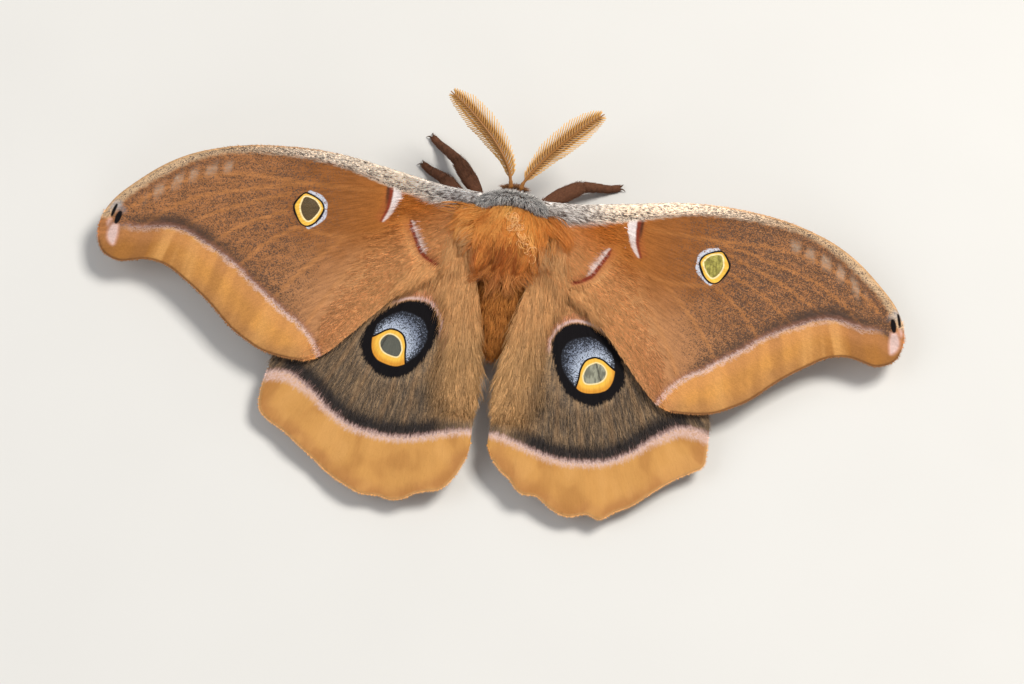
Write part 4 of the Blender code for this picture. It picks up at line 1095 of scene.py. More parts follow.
def hindwing_hair(wing, front, label, material):
    """Long hair along the inner margin, as far as the forewing's bars, and short hair over the middle."""
    side = wing.side
    reach = [(0, -step) for step in (0, 1.2, 2.4, 3.6, 4.8)]
    p = scatter(
        wing, 7900,
        lambda p: soft(distance(p, wing.inner), 8.5, 1.0) * soft(p[:, 1], -36.0, -33.5)
        * clear_of_egg(p, 1.17, 0, -1.6, -3.2, -4.8) * front.off_marks(p, 1.3, reach),
    )
    length = rng.uniform(3.4, 6.6, len(p)) * (0.22 + 0.78 * soft(p[:, 1], -37, -25))
    length *= 0.5 + 0.5 * soft(distance(p, wing.inner), 8, 4)
    combed(
        f"hindwing_inner_hair_{label}", p * (side, 1), lambda q: side * inner_lie(q * (side, 1)), length,
        0.075, material, "wings", lambda q: wing.fields(q * (side, 1)),
        rings=3, lift=0.25, depth=0.5, tufts=260, pull=0.35, wave=0.2,
    )
    wing_hair(
        wing, f"hindwing_medial_hair_{label}", 6800,
        lambda p: clear_of_egg(p, 1, 0, -1.5) * (p[:, 1] > band_edge(p)),
        lambda p: rng.uniform(1.0, 1.9, len(p)), 0.085, material, lift=0.09,
    )


def add_wings():
    """The four wings, each with its hair and its fringe."""
    fore, hind = forewing_top(), hindwing_top()
    under = {False: underside(False), True: underside(True)}
    for side, label in ((-1, "left"), (1, "right")):
        front, rear = Wing(False, side), Wing(True, side)
        add_wing(front, f"forewing_{label}", fore, under[False])
        forewing_hair(front, label, fore)
        add_wing(rear, f"hindwing_{label}", hind, under[True])
        hindwing_hair(rear, front, label, hind)
        cilia(rear, f"hindwing_cilia_{label}", hind)
        cilia(front, f"forewing_cilia_{label}", fore)


def cilia(wing, name, material):
    """The short fringe of scales along the outer margin."""
    line = curve(np.vstack([wing.costa[-1:], wing.margin, wing.inner[:1]]), 0.13)
    along = np.gradient(line, axis=0)
    out = unit(np.column_stack([-along[:, 1], along[:, 0]]))
    p = line - out * 0.12
    way = unit(out + rng.normal(0, 0.2, out.shape))
    roots = wing.top(p) - (0, 0, 0.05)
    heads = wing.lifted(way, np.zeros(len(p)))
    add_hair(name, roots, np.tile(UP, (len(p), 1)), heads, rng.uniform(0.3, 0.55, len(p)), 0.16, material,
             "wings", p, wing.fields(p), lift=0.05, rings=2, bend=0.2, sink=0.0)


# Body

COLLAR_RADIUS = 1.25
SKIN_FRONT = 3.6
SKIN_REAR = -23.0
SKIN_RINGS = 110
SKIN_SIDES = 40
HEAD_TO_TAIL = (
    (3.5, 0.7, 0.8, 6.5), (3.0, 1.4, 1.6, 6.7), (2.0, 1.95, 2.2, 6.9), (0.9, 2.0, 2.15, 7.1),
    (0.2, 2.0, 2.0, 7.3), (-0.3, 2.6, 2.6, 7.7), (-0.9, 3.8, 3.7, 7.8), (-2.9, 4.7, 4.45, 7.6),
    (-5.5, 4.9, 4.5, 7.3), (-8.5, 4.3, 4.0, 6.8), (-10.3, 3.2, 3.1, 6.0), (-11.2, 2.8, 2.7, 5.5),
    (-12.3, 3.05, 2.8, 5.0), (-14.2, 3.15, 2.85, 4.7), (-16.2, 3.15, 2.8, 4.45), (-18.2, 2.9, 2.6, 4.2),
    (-20.2, 2.4, 2.2, 4.0), (-21.9, 1.7, 1.55, 3.9), (-22.9, 0.8, 0.8, 3.85),
)


def body_at(y):
    """Half width, half height and middle height of the body's skin at places along it."""
    s = np.array(HEAD_TO_TAIL)[::-1]
    return [np.interp(y, s[:, 0], s[:, i]) for i in (1, 2, 3)]


def body_points(y, angle):
    """Points and outward directions on the skin; the angle is counted from the top, towards +X."""
    wide, high, middle = body_at(y)
    sin, cos = np.sin(angle), np.cos(angle)
    points = np.column_stack([wide * sin, y, middle + high * cos])
    step = 0.4
    wider, higher, raised = np.array(body_at(y + step)) - body_at(y - step)
    slope = -(wider * sin**2 + (higher + raised) * cos**2) / (2 * step)
    normals = unit(np.column_stack([sin / wide, slope / np.maximum(wide, high), cos / high]))
    return points, normals


def frames(line):
    """Directions ahead, aside and up at each point of a line."""
    ahead = unit(np.gradient(line, axis=0))
    side = unit(np.cross(ahead, UP))
    return ahead, side, np.cross(side, ahead)


def loft(rings_made, first, last):
    """Points and triangles of a closed skin over rings of points, with a point in the middle of each end."""
    n, sides = rings_made.shape[:2]
    points = np.vstack([rings_made.reshape(-1, 3), [first], [last]])
    faces = []
    for i in range(n - 1):
        for j in range(sides):
            k = (j + 1) % sides
            a, b, c, d = i * sides + j, i * sides + k, (i + 1) * sides + k, (i + 1) * sides + j
            faces += [(a, c, b), (a, d, c)]
    for j in range(sides):
        k = (j + 1) % sides
        faces += [(n * sides, j, k), (n * sides + 1, (n - 1) * sides + k, (n - 1) * sides + j)]
    return points, np.array(faces)


def tube(line, radii, sides, flat=1.0):
    """A closed tube along a line, round or pressed flat."""
    line = np.asarray(line, float)
    radii = np.broadcast_to(np.asarray(radii, float), len(line))
    _, side, up = frames(line)
    turn = np.arange(sides) * math.tau / sides
    rings_made = (
        line[:, None]
        + side[:, None] * (radii[:, None] * np.cos(turn))[..., None]
        + up[:, None] * (radii[:, None] * np.sin(turn) * flat)[..., None]
    )
    return loft(rings_made, line[0], line[-1])


def joined(parts):
    """Points and triangles of several shapes as one."""
    points, faces, start = [], [], 0
    for p, f in parts:
        points.append(p)
        faces.append(f + start)
        start += len(p)
    return np.vstack(points), np.vstack(faces)


def spline(points, count):
    """A smooth curve in space through points, with evenly many places on it."""
    p = np.asarray(points, float)
    fine = curve(p, 0.05)
    length = np.r_[0, np.cumsum(np.linalg.norm(np.diff(fine, axis=0), axis=1))]
    at = np.linspace(0, length[-1], count)
    return np.column_stack([np.interp(at, length, fine[:, i]) for i in range(3)])


PALP_RADII = np.linspace(0.5, 0.2, 12)
PALP = np.array([(0.75, 2.2, 5.6), (0.8, 3.6, 4.8), (0.7, 4.6, 4.95), (0.62, 5.0, 5.2)])


def palp_line(side):
    return spline(PALP * (side, 1, 1), len(PALP_RADII))


def tube_roots(line, radii, flat, count):
    """Random roots, normals and lie on a tube, with their places along it and round it."""
    ahead, side, up = frames(line)
    at = rng.uniform(0, len(line) - 1.001, count)
    low = at.astype(int)
    turn = rng.uniform(0, math.tau, count)
    across, rise = side[low] * np.cos(turn)[:, None], up[low] * np.sin(turn)[:, None]
    middle = line[low] + (line[low + 1] - line[low]) * (at - low)[:, None]
    r = np.interp(at, np.arange(len(radii)), radii)[:, None]
    roots = middle + across * r + rise * r * flat
    heads = ahead[low] + rng.normal(0, 0.15, (count, 3))
    return roots, across + rise, heads, at / len(line), turn / math.tau


def add_body():
    """One skin over the body, with palps and the collar's roll, whose line it gives back."""
    y = np.linspace(SKIN_FRONT, SKIN_REAR, SKIN_RINGS)
    wide, high, middle = body_at(y)
    turn = np.arange(SKIN_SIDES) * math.tau / SKIN_SIDES
    wide, high = np.maximum(wide, 0.3), np.maximum(high, 0.3)
    rings_made = np.stack(
        [
            wide[:, None] * np.sin(turn),
            np.broadcast_to(y[:, None], (SKIN_RINGS, SKIN_SIDES)),
            middle[:, None] + high[:, None] * np.cos(turn),
        ],
        axis=-1,
    )
    parts = [loft(rings_made, (0, SKIN_FRONT, middle[0]), (0, SKIN_REAR, middle[-1]))]
    parts += [tube(palp_line(side), PALP_RADII, 10) for side in (-1, 1)]
    arc = [(s * 4.5, -1.2 - 0.7 * s * s, 11.5 - 1.4 * s * s) for s in (-1, -0.6, -0.2, 0.2, 0.6, 1)]
    roll = spline(arc, 24)
    parts.append(tube(roll, COLLAR_RADIUS, 18))
    skin = skin_material("body skin", (0.30, 0.11, 0.035), (0.16, 0.05, 0.018))
    made = add_mesh("body_skin", *joined(parts), [skin], "coat")
    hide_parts("head", "thorax", "abdomen")
    return roll


def body_uv(angle, y):
    """Places on the unrolled skin of the body."""
    return np.column_stack([(angle / math.tau + 0.5) % 1 * 27, y])


def body_hair(name, count, y_range, length, width, material, around=(-math.pi, math.pi), keep=None, lift=0.2,
              rings=2, spread=0.1, tufts=0, pull=0.5, shade=0.0):
    """Locks over a stretch of the body, lying back and a little outwards; angles count from the top."""
    y = rng.uniform(*y_range, count)
    angle = rng.uniform(*around, count)
    if keep is not None:
        kept = keep(y, angle)
        y, angle = y[kept], angle[kept]
    roots, normals = body_points(y, angle)
    round_about = np.column_stack([normals[:, 2], 0 * y, -normals[:, 0]])
    aside = spread * np.sin(angle) + rng.normal(0, 0.16, len(y))
    heads = np.array((0.0, -1.0, 0.0)) + round_about * aside[:, None]
    size = rng.uniform(*length, len(y))
    if tufts:
        heads, size = gathered(roots, heads, size, tufts, pull)
    add_hair(name, roots, normals, heads, size, rng.uniform(0.8, 1.2, len(y)) * width, material, "coat",
             body_uv(angle, y), {"shade": np.full(len(y), shade)} if shade else {}, lift=lift, rings=rings)


def top_height(p):
    """Height of the upper face of the whole moth at places of its plan, smooth where body and wings meet."""
    wide, high, middle = body_at(p[:, 1])
    body = middle + high * np.sqrt(np.clip(1 - (p[:, 0] / wide) ** 2, 0.02, 1))
    flat = np.column_stack([np.abs(p[:, 0]), p[:, 1]])
    inner = np.array(FOREWING_INNER[::-1])
    slope = np.interp(flat[:, 0], (9.0, 17.0), (2.8, 0.6))
    on_fore = soft(p[:, 1] - np.interp(flat[:, 0], inner[:, 0], inner[:, 1]), -slope, 0.5)
    hind = wing_height(flat, True)
    wing = hind + (wing_height(flat, False) - hind) * on_fore + MEMBRANE_HALF + 0.08
    return (body + wing + np.sqrt((body - wing) ** 2 + 0.4)) / 2


def combed(name, p, angle_at, length, width, material, slot, fields, rings, lift, depth, tufts, pull, wave,
           stray=0.12):
    """Long hair combed over body and wings, whose locks follow the lie and draw together into tufts.

    The lie is an angle counted from straight back, towards +X."""
    count = len(p)
    own = rng.normal(0, stray, count)
    bend = rng.normal(0, 0.25, count)
    trail = [p]
    for i in range(rings):
        angle = angle_at(trail[-1]) + own + bend * (i / rings - 0.4)
        trail.append(trail[-1] + np.column_stack([np.sin(angle), -np.cos(angle)]) * (length / rings)[:, None])
    lead = rng.choice(count, tufts, replace=False)
    nearest_lead = np.array([((trail[1][lead] - spot) ** 2).sum(1).argmin() for spot in trail[1]])
    phase, tuft_tone = rng.uniform(0, math.tau, tufts), rng.uniform(0, 1, tufts)
    above = rng.uniform(0, 1, count)
    spine = []
    for i, at in enumerate(trail):
        t = i / rings
        at = at + pull * t**1.3 * (trail[i][lead][nearest_lead] - at)
        swing = wave * t * np.sin(phase[nearest_lead] + 4.5 * t + own * 3)
        at = at + np.column_stack([swing, 0.3 * swing])
        rise = lift * math.sin(math.pi * min(1, 0.15 + t)) - (ROOT_SINK if i == 0 else 0)
        spine.append(np.column_stack([at, top_height(at) + depth * above * (0.3 + 0.7 * t) + rise]))
    ahead = unit(spine[-1] - spine[0])
    side = unit(np.cross(ahead, UP))
    normals = np.cross(side, ahead)
    tone = 0.6 * tuft_tone[nearest_lead] + 0.4 * rng.uniform(0, 1, count)
    # In the wing materials, hair sets how much painted light these locks get.
    made = {"tone": tone, "hair": np.full(count, 0.45)} | fields(p)
    add_strands(name, spine, side, normals, rng.uniform(0.8, 1.2, count) * width, material, slot, p, made)


def mantle_lie(p):
    """The lie of the thorax's hair: it fans out from behind the collar and turns straight back."""
    fan = np.sign(p[:, 0] - 0.4) * soft(np.abs(p[:, 0] - 0.4), 0.2, 6.5) * 1.35
    return fan * (0.18 + 0.82 * soft(p[:, 1], -9.0, -2.0)) - 0.12


def mantle_fields(p):
    """Golden streaks over the thorax with painted light over its front and a painted sunlit patch, tan at its
    sides and painted shade over its rear.
    """
    x, y = p.T
    streak = np.abs(x - np.interp(-y, (2.4, 4.5, 6.5, 9.5), (-0.2, 0.3, 1.3, 3.7)))
    painted_sunlit_patch = np.exp(-(((x - 2.7) / 1.6) ** 2) - ((y + 3.9) / 1.7) ** 2)
    # Golden streaks, with painted light: a painted sunlit patch by the collar and a lighter front.
    golden = 0.4 * np.exp(-((streak / 0.6) ** 2)) + 0.7 * painted_sunlit_patch + 0.4 * soft(y, -7.5, -4.5)
    return {
        "gold": np.clip(golden, 0, 0.9),
        "tan": soft(np.abs(x), 3.6, 6.4) * (0.2 + 0.7 * soft(y, -4.0, -7.5)),
        # Painted shade over the rear.
        "shade": 0.9 * soft(y, -5.5, -8.5) * soft(np.abs(x), 4.0, 2.0) * rng.uniform(0.1, 1, len(x)),
    }


def rear_fields(p):
    """The rear tuft turns tan towards the abdomen, and its locks get painted shade at random strength."""
    return {"shade": 0.75 * rng.uniform(0, 1, len(p)), "tan": 0.3 * soft(p[:, 1], -9.5, -12.5)}


def mantle(material):
    """The shaggy sheaves over the thorax, which run out over the roots of the wings."""
    count = 4300
    for i in range(2):
        x = rng.normal(0, 3.5, 3 * count)
        y = rng.uniform(-9.6, -2.2, 3 * count)
        p = np.column_stack([x, y])[np.abs(x) < 7.8 + 0.12 * y][:count]
        length = rng.uniform(3.0, 6.2, len(p)) * np.interp(p[:, 1], (-9.6, -5), (0.7, 1))
        combed(f"thorax_coat_{i}", p, mantle_lie, length, 0.10, material, "coat", mantle_fields,
               rings=4, lift=0.6, depth=1.2, tufts=40, pull=0.84, wave=0.45, stray=0.16)


def rear_tuft(material):
    """The loose darker tuft at the thorax's rear, which hangs over the abdomen."""
    count = 2600
    p = np.column_stack([np.clip(rng.normal(0, 1.5, count), -3.6, 3.6), rng.normal(-9.6, 1.5, count)])
    length = rng.uniform(2.6, 5.0, count)
    combed("thorax_rear_tuft", p, lambda q: 0.08 * q[:, 0], length, 0.10, material, "coat", rear_fields,
           rings=4, lift=0.45, depth=0.9, tufts=44, pull=0.6, wave=0.7, stray=0.35)


def add_coat(roll):
    """All hair of the body, in three mixes of colours, and the collar's."""
    rust = fur_material("rust hair", (1.0, 0.405, 0.095), (0.52, 0.115, 0.020))
    brown = fur_material("abdomen hair", (0.86, 0.35, 0.08), (0.38, 0.125, 0.028))
    dark = fur_material("face hair", (0.36, 0.17, 0.07), (0.15, 0.06, 0.03))
    # The under coat and the belly coat get painted shade, so the gaps between the sheaves and the underside
    # read dark.
    body_hair("thorax_under_coat", 3000, (-10.2, -1.4), (1.4, 2.4), 0.14, rust, (-2.0, 2.0), spread=0.6,
              lift=0.1, shade=0.75)
    mantle(rust)
    rear_tuft(rust)
    body_hair("thorax_belly_coat", 3600, (-11.8, -0.4), (1.6, 2.8), 0.16, rust, (1.75, math.tau - 1.75),
              spread=0.3, shade=0.4)
    body_hair("nape_coat", 1900, (-1.9, 0.8), (0.8, 1.4), 0.12, brown, lift=0.3, spread=0.0)
    body_hair("waist_coat", 900, (-13.4, -10.9), (1.2, 2.0), 0.13, brown, (1.5, math.tau - 1.5), lift=0.5,
              spread=0.2)
    curls(rust)
    body_hair("abdomen_coat", 5600, (-22.4, -10.4), (2.2, 4.2), 0.09, brown, lift=0.17, rings=3, tufts=300,
              pull=0.45)
    body_hair("tail_tuft", 900, (-22.8, -21.6), (1.4, 2.4), 0.11, brown, lift=0.05, spread=0.0)
    body_hair("head_coat", 2600, (0.6, 3.2), (0.6, 1.1), 0.12, dark, lift=0.3, spread=0.0,
              keep=lambda y, a: (np.abs(np.abs(a) - 1.7) > 0.45) | (y < 0.9))
    face_tuft(dark)
    palp_hair(dark)
    collar(roll)


def curls(material):
    """Golden curled hairs that stand in the rust hair behind the collar, with long loose ones below them."""
    spots = ((0.1, -4.7), (0.5, -5.6), (0.4, -6.2), (1.5, -5.9), (2.2, -7.2), (2.6, -8.0), (3.3, -8.7))
    shares = (0.22, 0.2, 0.1, 0.1, 0.16, 0.14, 0.08)
    loose_ends = ((4.1, -10.4), (3.7, -9.9), (4.6, -11.2), (5.0, -12.2), (4.9, -13.0))
    count = 84
    pick = rng.choice(len(spots), count, p=shares)
    centre = np.array(spots)[pick] + rng.normal(0, 0.3, (count, 2))
    size = rng.uniform(0.25, 0.72, count)
    start, turns = rng.uniform(0, math.tau, count), rng.uniform(3.5, 8.0, count) * rng.choice((-1, 1), count)
    drift = rng.normal(0, 0.4, (count, 2)) + (0.3, -0.6)
    level = top_height(centre) + 1.3 + rng.uniform(0, 0.5, count)
    spine = []
    for t in np.linspace(0, 1, 13):
        turn = start + turns * t
        across = size * (1 - 0.25 * t)
        spine.append(np.column_stack([
            centre[:, 0] + drift[:, 0] * t + across * np.cos(turn),
            centre[:, 1] + drift[:, 1] * t + across * np.sin(turn),
            level + 0.2 * np.sin(turn + pick) - 1.6 * math.exp(-12 * t) - 0.3 * t,
        ]))
    for end in loose_ends:
        first = np.array((2.9, -6.4)) + rng.normal(0, 0.25, 2)
        line = np.linspace(first, end, 5) + np.outer(np.sin(np.linspace(0, math.pi, 5)), (0.5, 0.1))
        height = top_height(line) + (0.4, 1.4, 1.2, 0.9, 0.5)
        loose = spline(np.column_stack([line, height]), 13)
        spine = [np.vstack([at, loose[i : i + 1]]) for i, at in enumerate(spine)]
    count += len(loose_ends)
    up = np.tile(UP, (count, 1))
    side = unit(np.cross(unit(spine[6] - spine[5]), up))
    # Painted glints: some curls are laid pale, as a painted highlight.
    painted_glint = rng.uniform(0.0, 0.55, count) * np.where(np.arange(count) < count - len(loose_ends), 1, 0.2)
    fields = {"gold": np.ones(count), "pale": painted_glint, "tip": np.full(count, 0.8)}
    fields["tone"] = rng.uniform(0.4, 1, count)
    width = np.full(count, 0.12)
    add_strands("golden_curls", spine, side, up, width, material, "coat", spine[0][:, :2], fields)


def face_tuft(material):
    """The brush of hair between the feelers and over the face."""
    count = 1600
    x = rng.uniform(-1.45, 1.45, count)
    z = rng.uniform(5.2, 9.0, count)
    y = 3.1 - 0.16 * x**2 - np.where(z > 7.2, 0.22, 0.09) * (z - 7.2) ** 2
    roots = np.column_stack([x, y, z])
    normals = np.column_stack([0.2 * x, 0.8 + 0 * x, (z - 7.0) * 0.45])
    heads = np.column_stack([0.3 * x, 0.6 + 0 * x, 0.35 * (z - 7.6)]) + rng.normal(0, 0.15, (count, 3))
    uv = np.column_stack([0.8 * x, z])
    add_hair("face_tuft", roots, normals, heads, rng.uniform(0.7, 1.3, count), 0.12, material, "coat", uv,
             lift=0.5, rings=3, bend=0.2)


def palp_hair(material):
    """Short hair along both palps."""
    count = 320
    found = [tube_roots(palp_line(side), PALP_RADII, 1.0, count) for side in (-1, 1)]
    roots, normals, heads, at, turn = (np.concatenate(parts) for parts in zip(*found))
    uv = np.column_stack([turn * 0.9, at * 0.4 + np.repeat((0, 0.45), count)])
    add_hair("palp_hair", roots, normals, heads, rng.uniform(0.35, 0.65, 2 * count), 0.09, material, "coat",
             uv, lift=0.25, rings=2, bend=0.2)


def collar(roll):
    """Grey-speckled hair over the collar's roll, combed back over the shoulders."""
    grey = fur_material("collar hair", (0.42, 0.37, 0.33), (0.12, 0.11, 0.10))
    count = 7600
    at = rng.uniform(0, len(roll) - 1.001, count)
    low = at.astype(int)
    middle = roll[low] + (roll[low + 1] - roll[low]) * (at - low)[:, None]
    along = unit(roll[low + 1] - roll[low])
    turn = rng.uniform(-0.6, 3.3, count)
    forward = np.array((0.0, 1.0, 0.0))
    up = unit(np.cross(along, forward))
    up = up * np.sign(up[:, 2:3])
    normals = unit(forward * np.cos(turn)[:, None] + up * np.sin(turn)[:, None])
    roots = middle + normals * (COLLAR_RADIUS - 0.05)
    back = up * np.cos(turn)[:, None] - forward * np.sin(turn)[:, None]
    heads = back + along * (0.9 * middle[:, :1] / 4.4) + rng.normal(0, 0.35, (count, 3))
    uv = np.column_stack([at / len(roll) * 0.9, turn / 6])
    add_hair("collar_hair", roots, normals, heads, rng.uniform(0.8, 1.5, count), 0.11, grey, "coat", uv,
             {"grey": np.ones(count)}, lift=0.14, rings=2, bend=0.25)


# Feelers

FEELERS = {
    -1: (
        (-0.8, 2.0, 8.0), (-0.75, 3.2, 9.4), (-1.8, 5.7, 10.8), (-4.2, 8.6, 12.2), (-7.2, 11.2, 13.6),
        (-9.4, 12.9, 14.4), (-11.9, 14.6, 15.0),
    ),
    1: (
        (0.9, 2.0, 8.0), (1.2, 3.3, 9.4), (3.4, 6.4, 10.8), (5.5, 8.6, 12.0), (7.6, 10.6, 13.0),
        (10.0, 12.7, 14.0), (12.2, 14.3, 15.0),
    ),
}
SHAFT_RINGS = 90
SEGMENTS = 30
RAMUS_LENGTH = 3.3
RAMUS_LEAN = math.radians(44)
INNER_TILT = math.radians(12)
OUTER_TILT = math.radians(-50)
FIRST_RAMUS, LAST_RAMUS = 11, 85
RAMUS_PAIR = ((1.0, RAMUS_LEAN, 0.0), (0.9, RAMUS_LEAN - 0.03, -0.4))
RAMUS_BOW = ((0, 0), (0.45, -0.04), (0.8, 0.06), (1, 0.2))


def add_feelers():
    """Both feelers: a jointed shaft with a pair of branches on each side of every joint."""
    paint = Paint("feeler")
    along = paint["along"]
    paint.colour = paint.mixed(along, (0.32, 0.13, 0.026), (0.95, 0.55, 0.16))
    paint.shade(paint.scaled(paint.noise(paint.vectors("flow"), 3.0), 0.4, 0.8))
    gold = paint.finish(0.45, 0.4, sheen=0.1)
    along = np.linspace(0, 1, SHAFT_RINGS)
    for side, label in ((-1, "left"), (1, "right")):
        shaft = spline(FEELERS[side], SHAFT_RINGS)
        thick = np.interp(along, (0, 0.06, 0.12, 1), (0.5, 0.42, 0.24, 0.1))
        thick = thick * (1 + 0.1 * np.cos(np.arange(SHAFT_RINGS) * math.tau / SHAFT_RINGS * SEGMENTS))
        parts = [tube(shaft, thick, 8)]
        tones = [np.zeros(len(parts[0][0]))]
        axes = frames(shaft)
        for i in range(SEGMENTS):
            t = (i + 0.5) / SEGMENTS
            at = FIRST_RAMUS + t * (LAST_RAMUS - FIRST_RAMUS)
            low = int(at)
            root = shaft[low] + (shaft[low + 1] - shaft[low]) * (at - low)
            forward, flank, rise = (axis[low] for axis in axes)
            for way in (-1, 1):
                tilt = OUTER_TILT if way == side else INNER_TILT
                for pair, (scale, lean, lower) in enumerate(RAMUS_PAIR):
                    reach = RAMUS_LENGTH * math.sin(math.pi * (0.08 + 0.87 * t)) ** 0.7 * scale
                    reach *= rng.uniform(0.95, 1.03)
                    across = flank * way * math.cos(tilt + lower) + rise * math.sin(tilt + lower)
                    outward = forward * math.cos(lean) + across * math.sin(lean)
                    start = root + forward * 0.12 * pair
                    bow = [start + outward * reach * far + forward * bent for far, bent in RAMUS_BOW]
                    made = tube(spline(bow, 6), np.linspace(0.14, 0.08, 6), 5)
                    parts.append(made)
                    tones.append(np.linspace(0, 1, len(made[0])))
        points, faces = joined(parts)
        holder = add_mesh(f"antenna_{label}", points, faces, [gold], "feelers",
                          {"along": np.concatenate(tones), "flow": points})
        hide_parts(f"antenna_{label}")


# Legs

LEGS = {
    "leg_front_left": (
        (-2.5, -1.2, 3.8), (-5.4, 2.9, 4.5), (-9.5, 9.2, 3.2), (-12.8, 12.9, 0.75), (-14.0, 14.1, 0.5),
    ),
    "leg_front_right": (
        (2.5, -1.2, 3.8), (5.0, 3.0, 4.5), (10.6, 7.6, 3.2), (14.7, 9.1, 0.75), (16.4, 9.7, 0.5),
    ),
    "leg_mid_left": (
        (-3.2, -4.2, 3.5), (-7.3, 0.8, 4.4), (-11.1, 5.9, 2.6), (-13.5, 8.0, 0.7), (-14.8, 9.0, 0.5),
    ),
    "leg_mid_right": (
        (3.2, -4.2, 3.5), (8.6, -3.4, 4.4), (13.6, -1.6, 2.6), (15.8, -0.7, 0.7), (17.6, 0.0, 0.5),
    ),
    "leg_hind_left": (
        (-2.8, -7.6, 3.3), (-6.6, -10.6, 4.1), (-9.6, -16.0, 2.4), (-10.8, -18.5, 0.7), (-11.6, -20.4, 0.5),
    ),
    "leg_hind_right": (
        (2.8, -7.6, 3.3), (6.6, -10.4, 4.1), (9.2, -16.2, 2.4), (10.3, -18.7, 0.7), (11.0, -20.7, 0.5),
    ),
}


KNEE_RADIUS = 0.72
ANKLE_RADIUS = 0.66
LEG_FLOOR = 0.03
HAIR_FLOOR = 0.02
LEG_LOCKS = 1300
LEG_HAIR_LENGTHS = ((0.6, 1.1), (0.5, 1.0), (0.3, 0.55))


def leg_parts(points):
    """The lines and radii of femur, tibia and tarsus."""
    hip, knee, ankle, heel, toe = (np.array(p) for p in points)
    coxa = hip + (-0.35 * hip[0], -0.2, 2.0)
    femur = spline([coxa, hip, (hip + knee) / 2, knee], 16)
    tibia = spline([knee, knee * 0.65 + ankle * 0.35, ankle], 16)
    tarsus = spline([ankle + (knee - ankle) * 0.04, (ankle + heel) / 2, heel, toe], 26)
    t = np.linspace(0, 1, 26)
    bead = 0.09 * np.abs(np.sin(t * math.pi * 5)) ** 0.6
    return (
        (femur, np.interp(np.linspace(0, 1, 16), (0, 0.3, 0.6, 1), (1.0, 0.8, 0.9, 0.7)), 1.0),
        (tibia, np.interp(np.linspace(0, 1, 16), (0, 0.12, 0.4, 0.85, 1), (0.7, 1.0, 1.32, 1.2, 0.8)), 0.75),
        (tarsus, (0.85 - 0.38 * t + bead) * (0.7 + 0.3 * soft(t, 0, 0.1)), 1.0),
    )


def knob(at, r, rings=9, sides=12):
    """A ball: an eye, or what closes a joint of a leg."""
    turn = np.linspace(0.02, math.pi - 0.02, rings)
    return tube(at + np.column_stack([-np.cos(turn) * r, 0 * turn, 0 * turn]), np.sin(turn) * r, sides)


def claws(heel, toe):
    """The two hooks at the end of a foot."""
    forward = unit(toe - heel)
    across = unit(np.cross(forward, UP))
    hooks = []
    for way in (-1, 1):
        base = toe + across * way * 0.18
        middle = base + (forward + across * way * 0.35) * 0.5 + (0, 0, 0.1)
        tip = base + (forward * 0.85 + across * way * 0.5) - (0, 0, 0.25)
        hooks.append(tube(spline([base, middle, tip], 10), np.linspace(0.16, 0.03, 10), 8))
    return hooks


def add_legs():
    """Six legs with short hair and claws."""
    skin = skin_material("leg skin", (0.145, 0.062, 0.034), (0.11, 0.046, 0.026))
    fur = fur_material("leg hair", (0.20, 0.088, 0.047), (0.12, 0.05, 0.027))
    claw = skin_material("claw", (0.10, 0.045, 0.02), (0.04, 0.02, 0.01))
    for name, points in LEGS.items():
        hairs = []
        parts = [knob(points[1], KNEE_RADIUS), knob(points[2], ANKLE_RADIUS)]
        for i, (line, radii, flat) in enumerate(leg_parts(points)):
            parts.append(tube(line, radii, 14, flat))
            root, normal, head, at, turn = tube_roots(line, radii, flat, LEG_LOCKS)
            size = rng.uniform(*LEG_HAIR_LENGTHS[i], LEG_LOCKS)
            hairs.append((root, normal, head, size, np.column_stack([turn * 0.9, 0.32 * i + 0.3 * at])))
        body, faces = joined(parts)
        body[:, 2] = np.maximum(body[:, 2], LEG_FLOOR)
        holder = add_mesh(name, body, faces, [skin], "legs")
        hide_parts(name)
        roots, normals, heads, sizes, uv = (np.concatenate(part) for part in zip(*hairs))
        add_hair(name + "_hair", roots, normals, heads, sizes, 0.09, fur, "legs", uv, lift=0.16, rings=1,
                 floor=HAIR_FLOOR)
        hooks, faces = joined(claws(*(np.array(p) for p in points[3:])))
        hooks[:, 2] = np.maximum(hooks[:, 2], LEG_FLOOR)
        add_mesh(name + "_claws", hooks, faces, [claw], "legs")


# Eyes

EYE_X = 2.1
EYE_RADIUS = 1.12


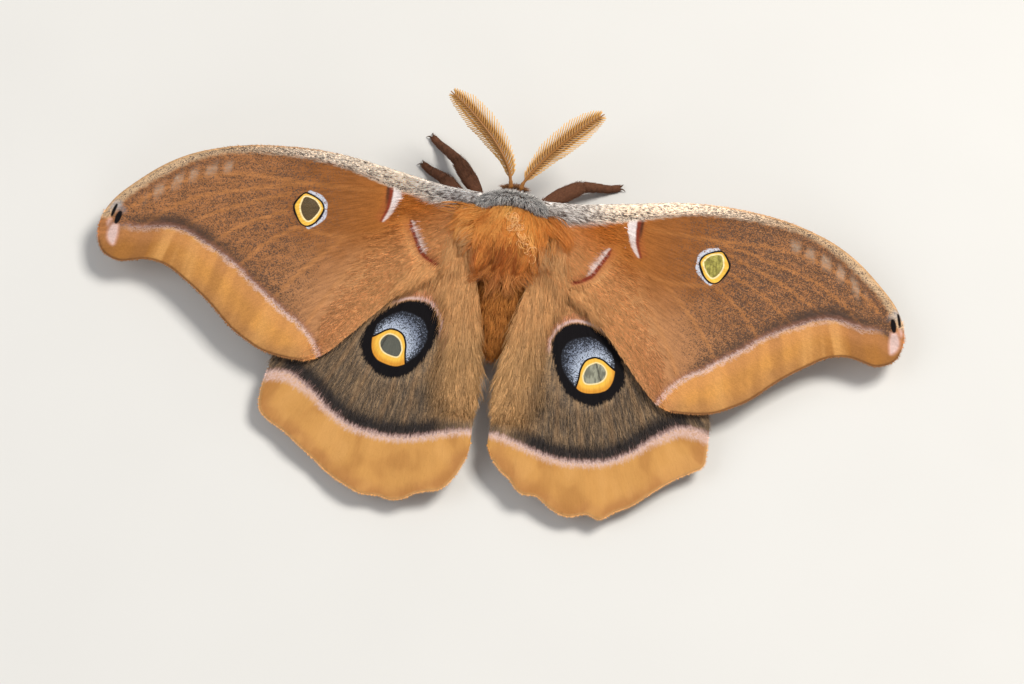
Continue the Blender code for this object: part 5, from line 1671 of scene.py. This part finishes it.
def add_eyes():
    paint = Paint("compound eye")
    facets = paint.cells(paint.object_place(), 7000)
    paint.colour = paint.mixed(facets, (0.018, 0.010, 0.008), (0.05, 0.028, 0.018))
    glossy = paint.finish(0.22, 0.6, facets, 0.03)
    for side, label in ((-1, "left"), (1, "right")):
        ball = knob((side * EYE_X, 1.6, 6.6), EYE_RADIUS, rings=24, sides=36)
        holder = add_mesh(f"eye_{label}", *ball, [glossy], "eyes")
        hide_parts(f"eye_{label}")


# Floor and light


def add_stage():
    """A pale floor, three soft lamps and a dim sky."""
    paint = Paint("floor")
    paint.colour = paint.mixed(paint.noise(paint.object_place(), 30), (0.66, 0.65, 0.63), (0.70, 0.69, 0.67))
    paper = paint.finish(0.9, 0.1)
    mesh = bpy.data.meshes.new("floor")
    mesh.from_pydata([(-3, -3, 0), (3, -3, 0), (3, 3, 0), (-3, 3, 0)], [], [(0, 1, 2, 3)])
    mesh.materials.append(paper)
    floor = bpy.data.objects.new("floor", mesh)
    bpy.context.scene.collection.objects.link(floor)
    for name, spot, size, power, colour in (
        ("key", (0.35, 0.25, 0.75), 0.3, 7.4, (1.0, 0.965, 0.90)),
        ("fill", (-0.6, -0.2, 0.6), 0.6, 2.0, (0.95, 0.97, 1.0)),
        ("low", (0.1, -0.8, 0.35), 0.5, 1.4, (1.0, 0.98, 0.96)),
    ):
        lamp = bpy.data.lights.new(name, "AREA")
        lamp.size = size
        lamp.energy = power
        lamp.color = colour
        holder = bpy.data.objects.new(name, lamp)
        bpy.context.scene.collection.objects.link(holder)
        holder.location = spot
        holder.rotation_mode = "QUATERNION"
        holder.rotation_quaternion = Vector(spot).to_track_quat("Z", "Y")
    world = bpy.data.worlds.new("studio")
    bpy.context.scene.world = world
    world.use_nodes = True
    world.node_tree.nodes["Background"].inputs["Color"].default_value = (0.95, 0.97, 1.0, 1)
    world.node_tree.nodes["Background"].inputs["Strength"].default_value = 0.30
    bpy.context.scene.view_settings.view_transform = "Standard"


set_camera()
add_stage()
add_wings()
add_coat(add_body())
add_feelers()
add_legs()
add_eyes()
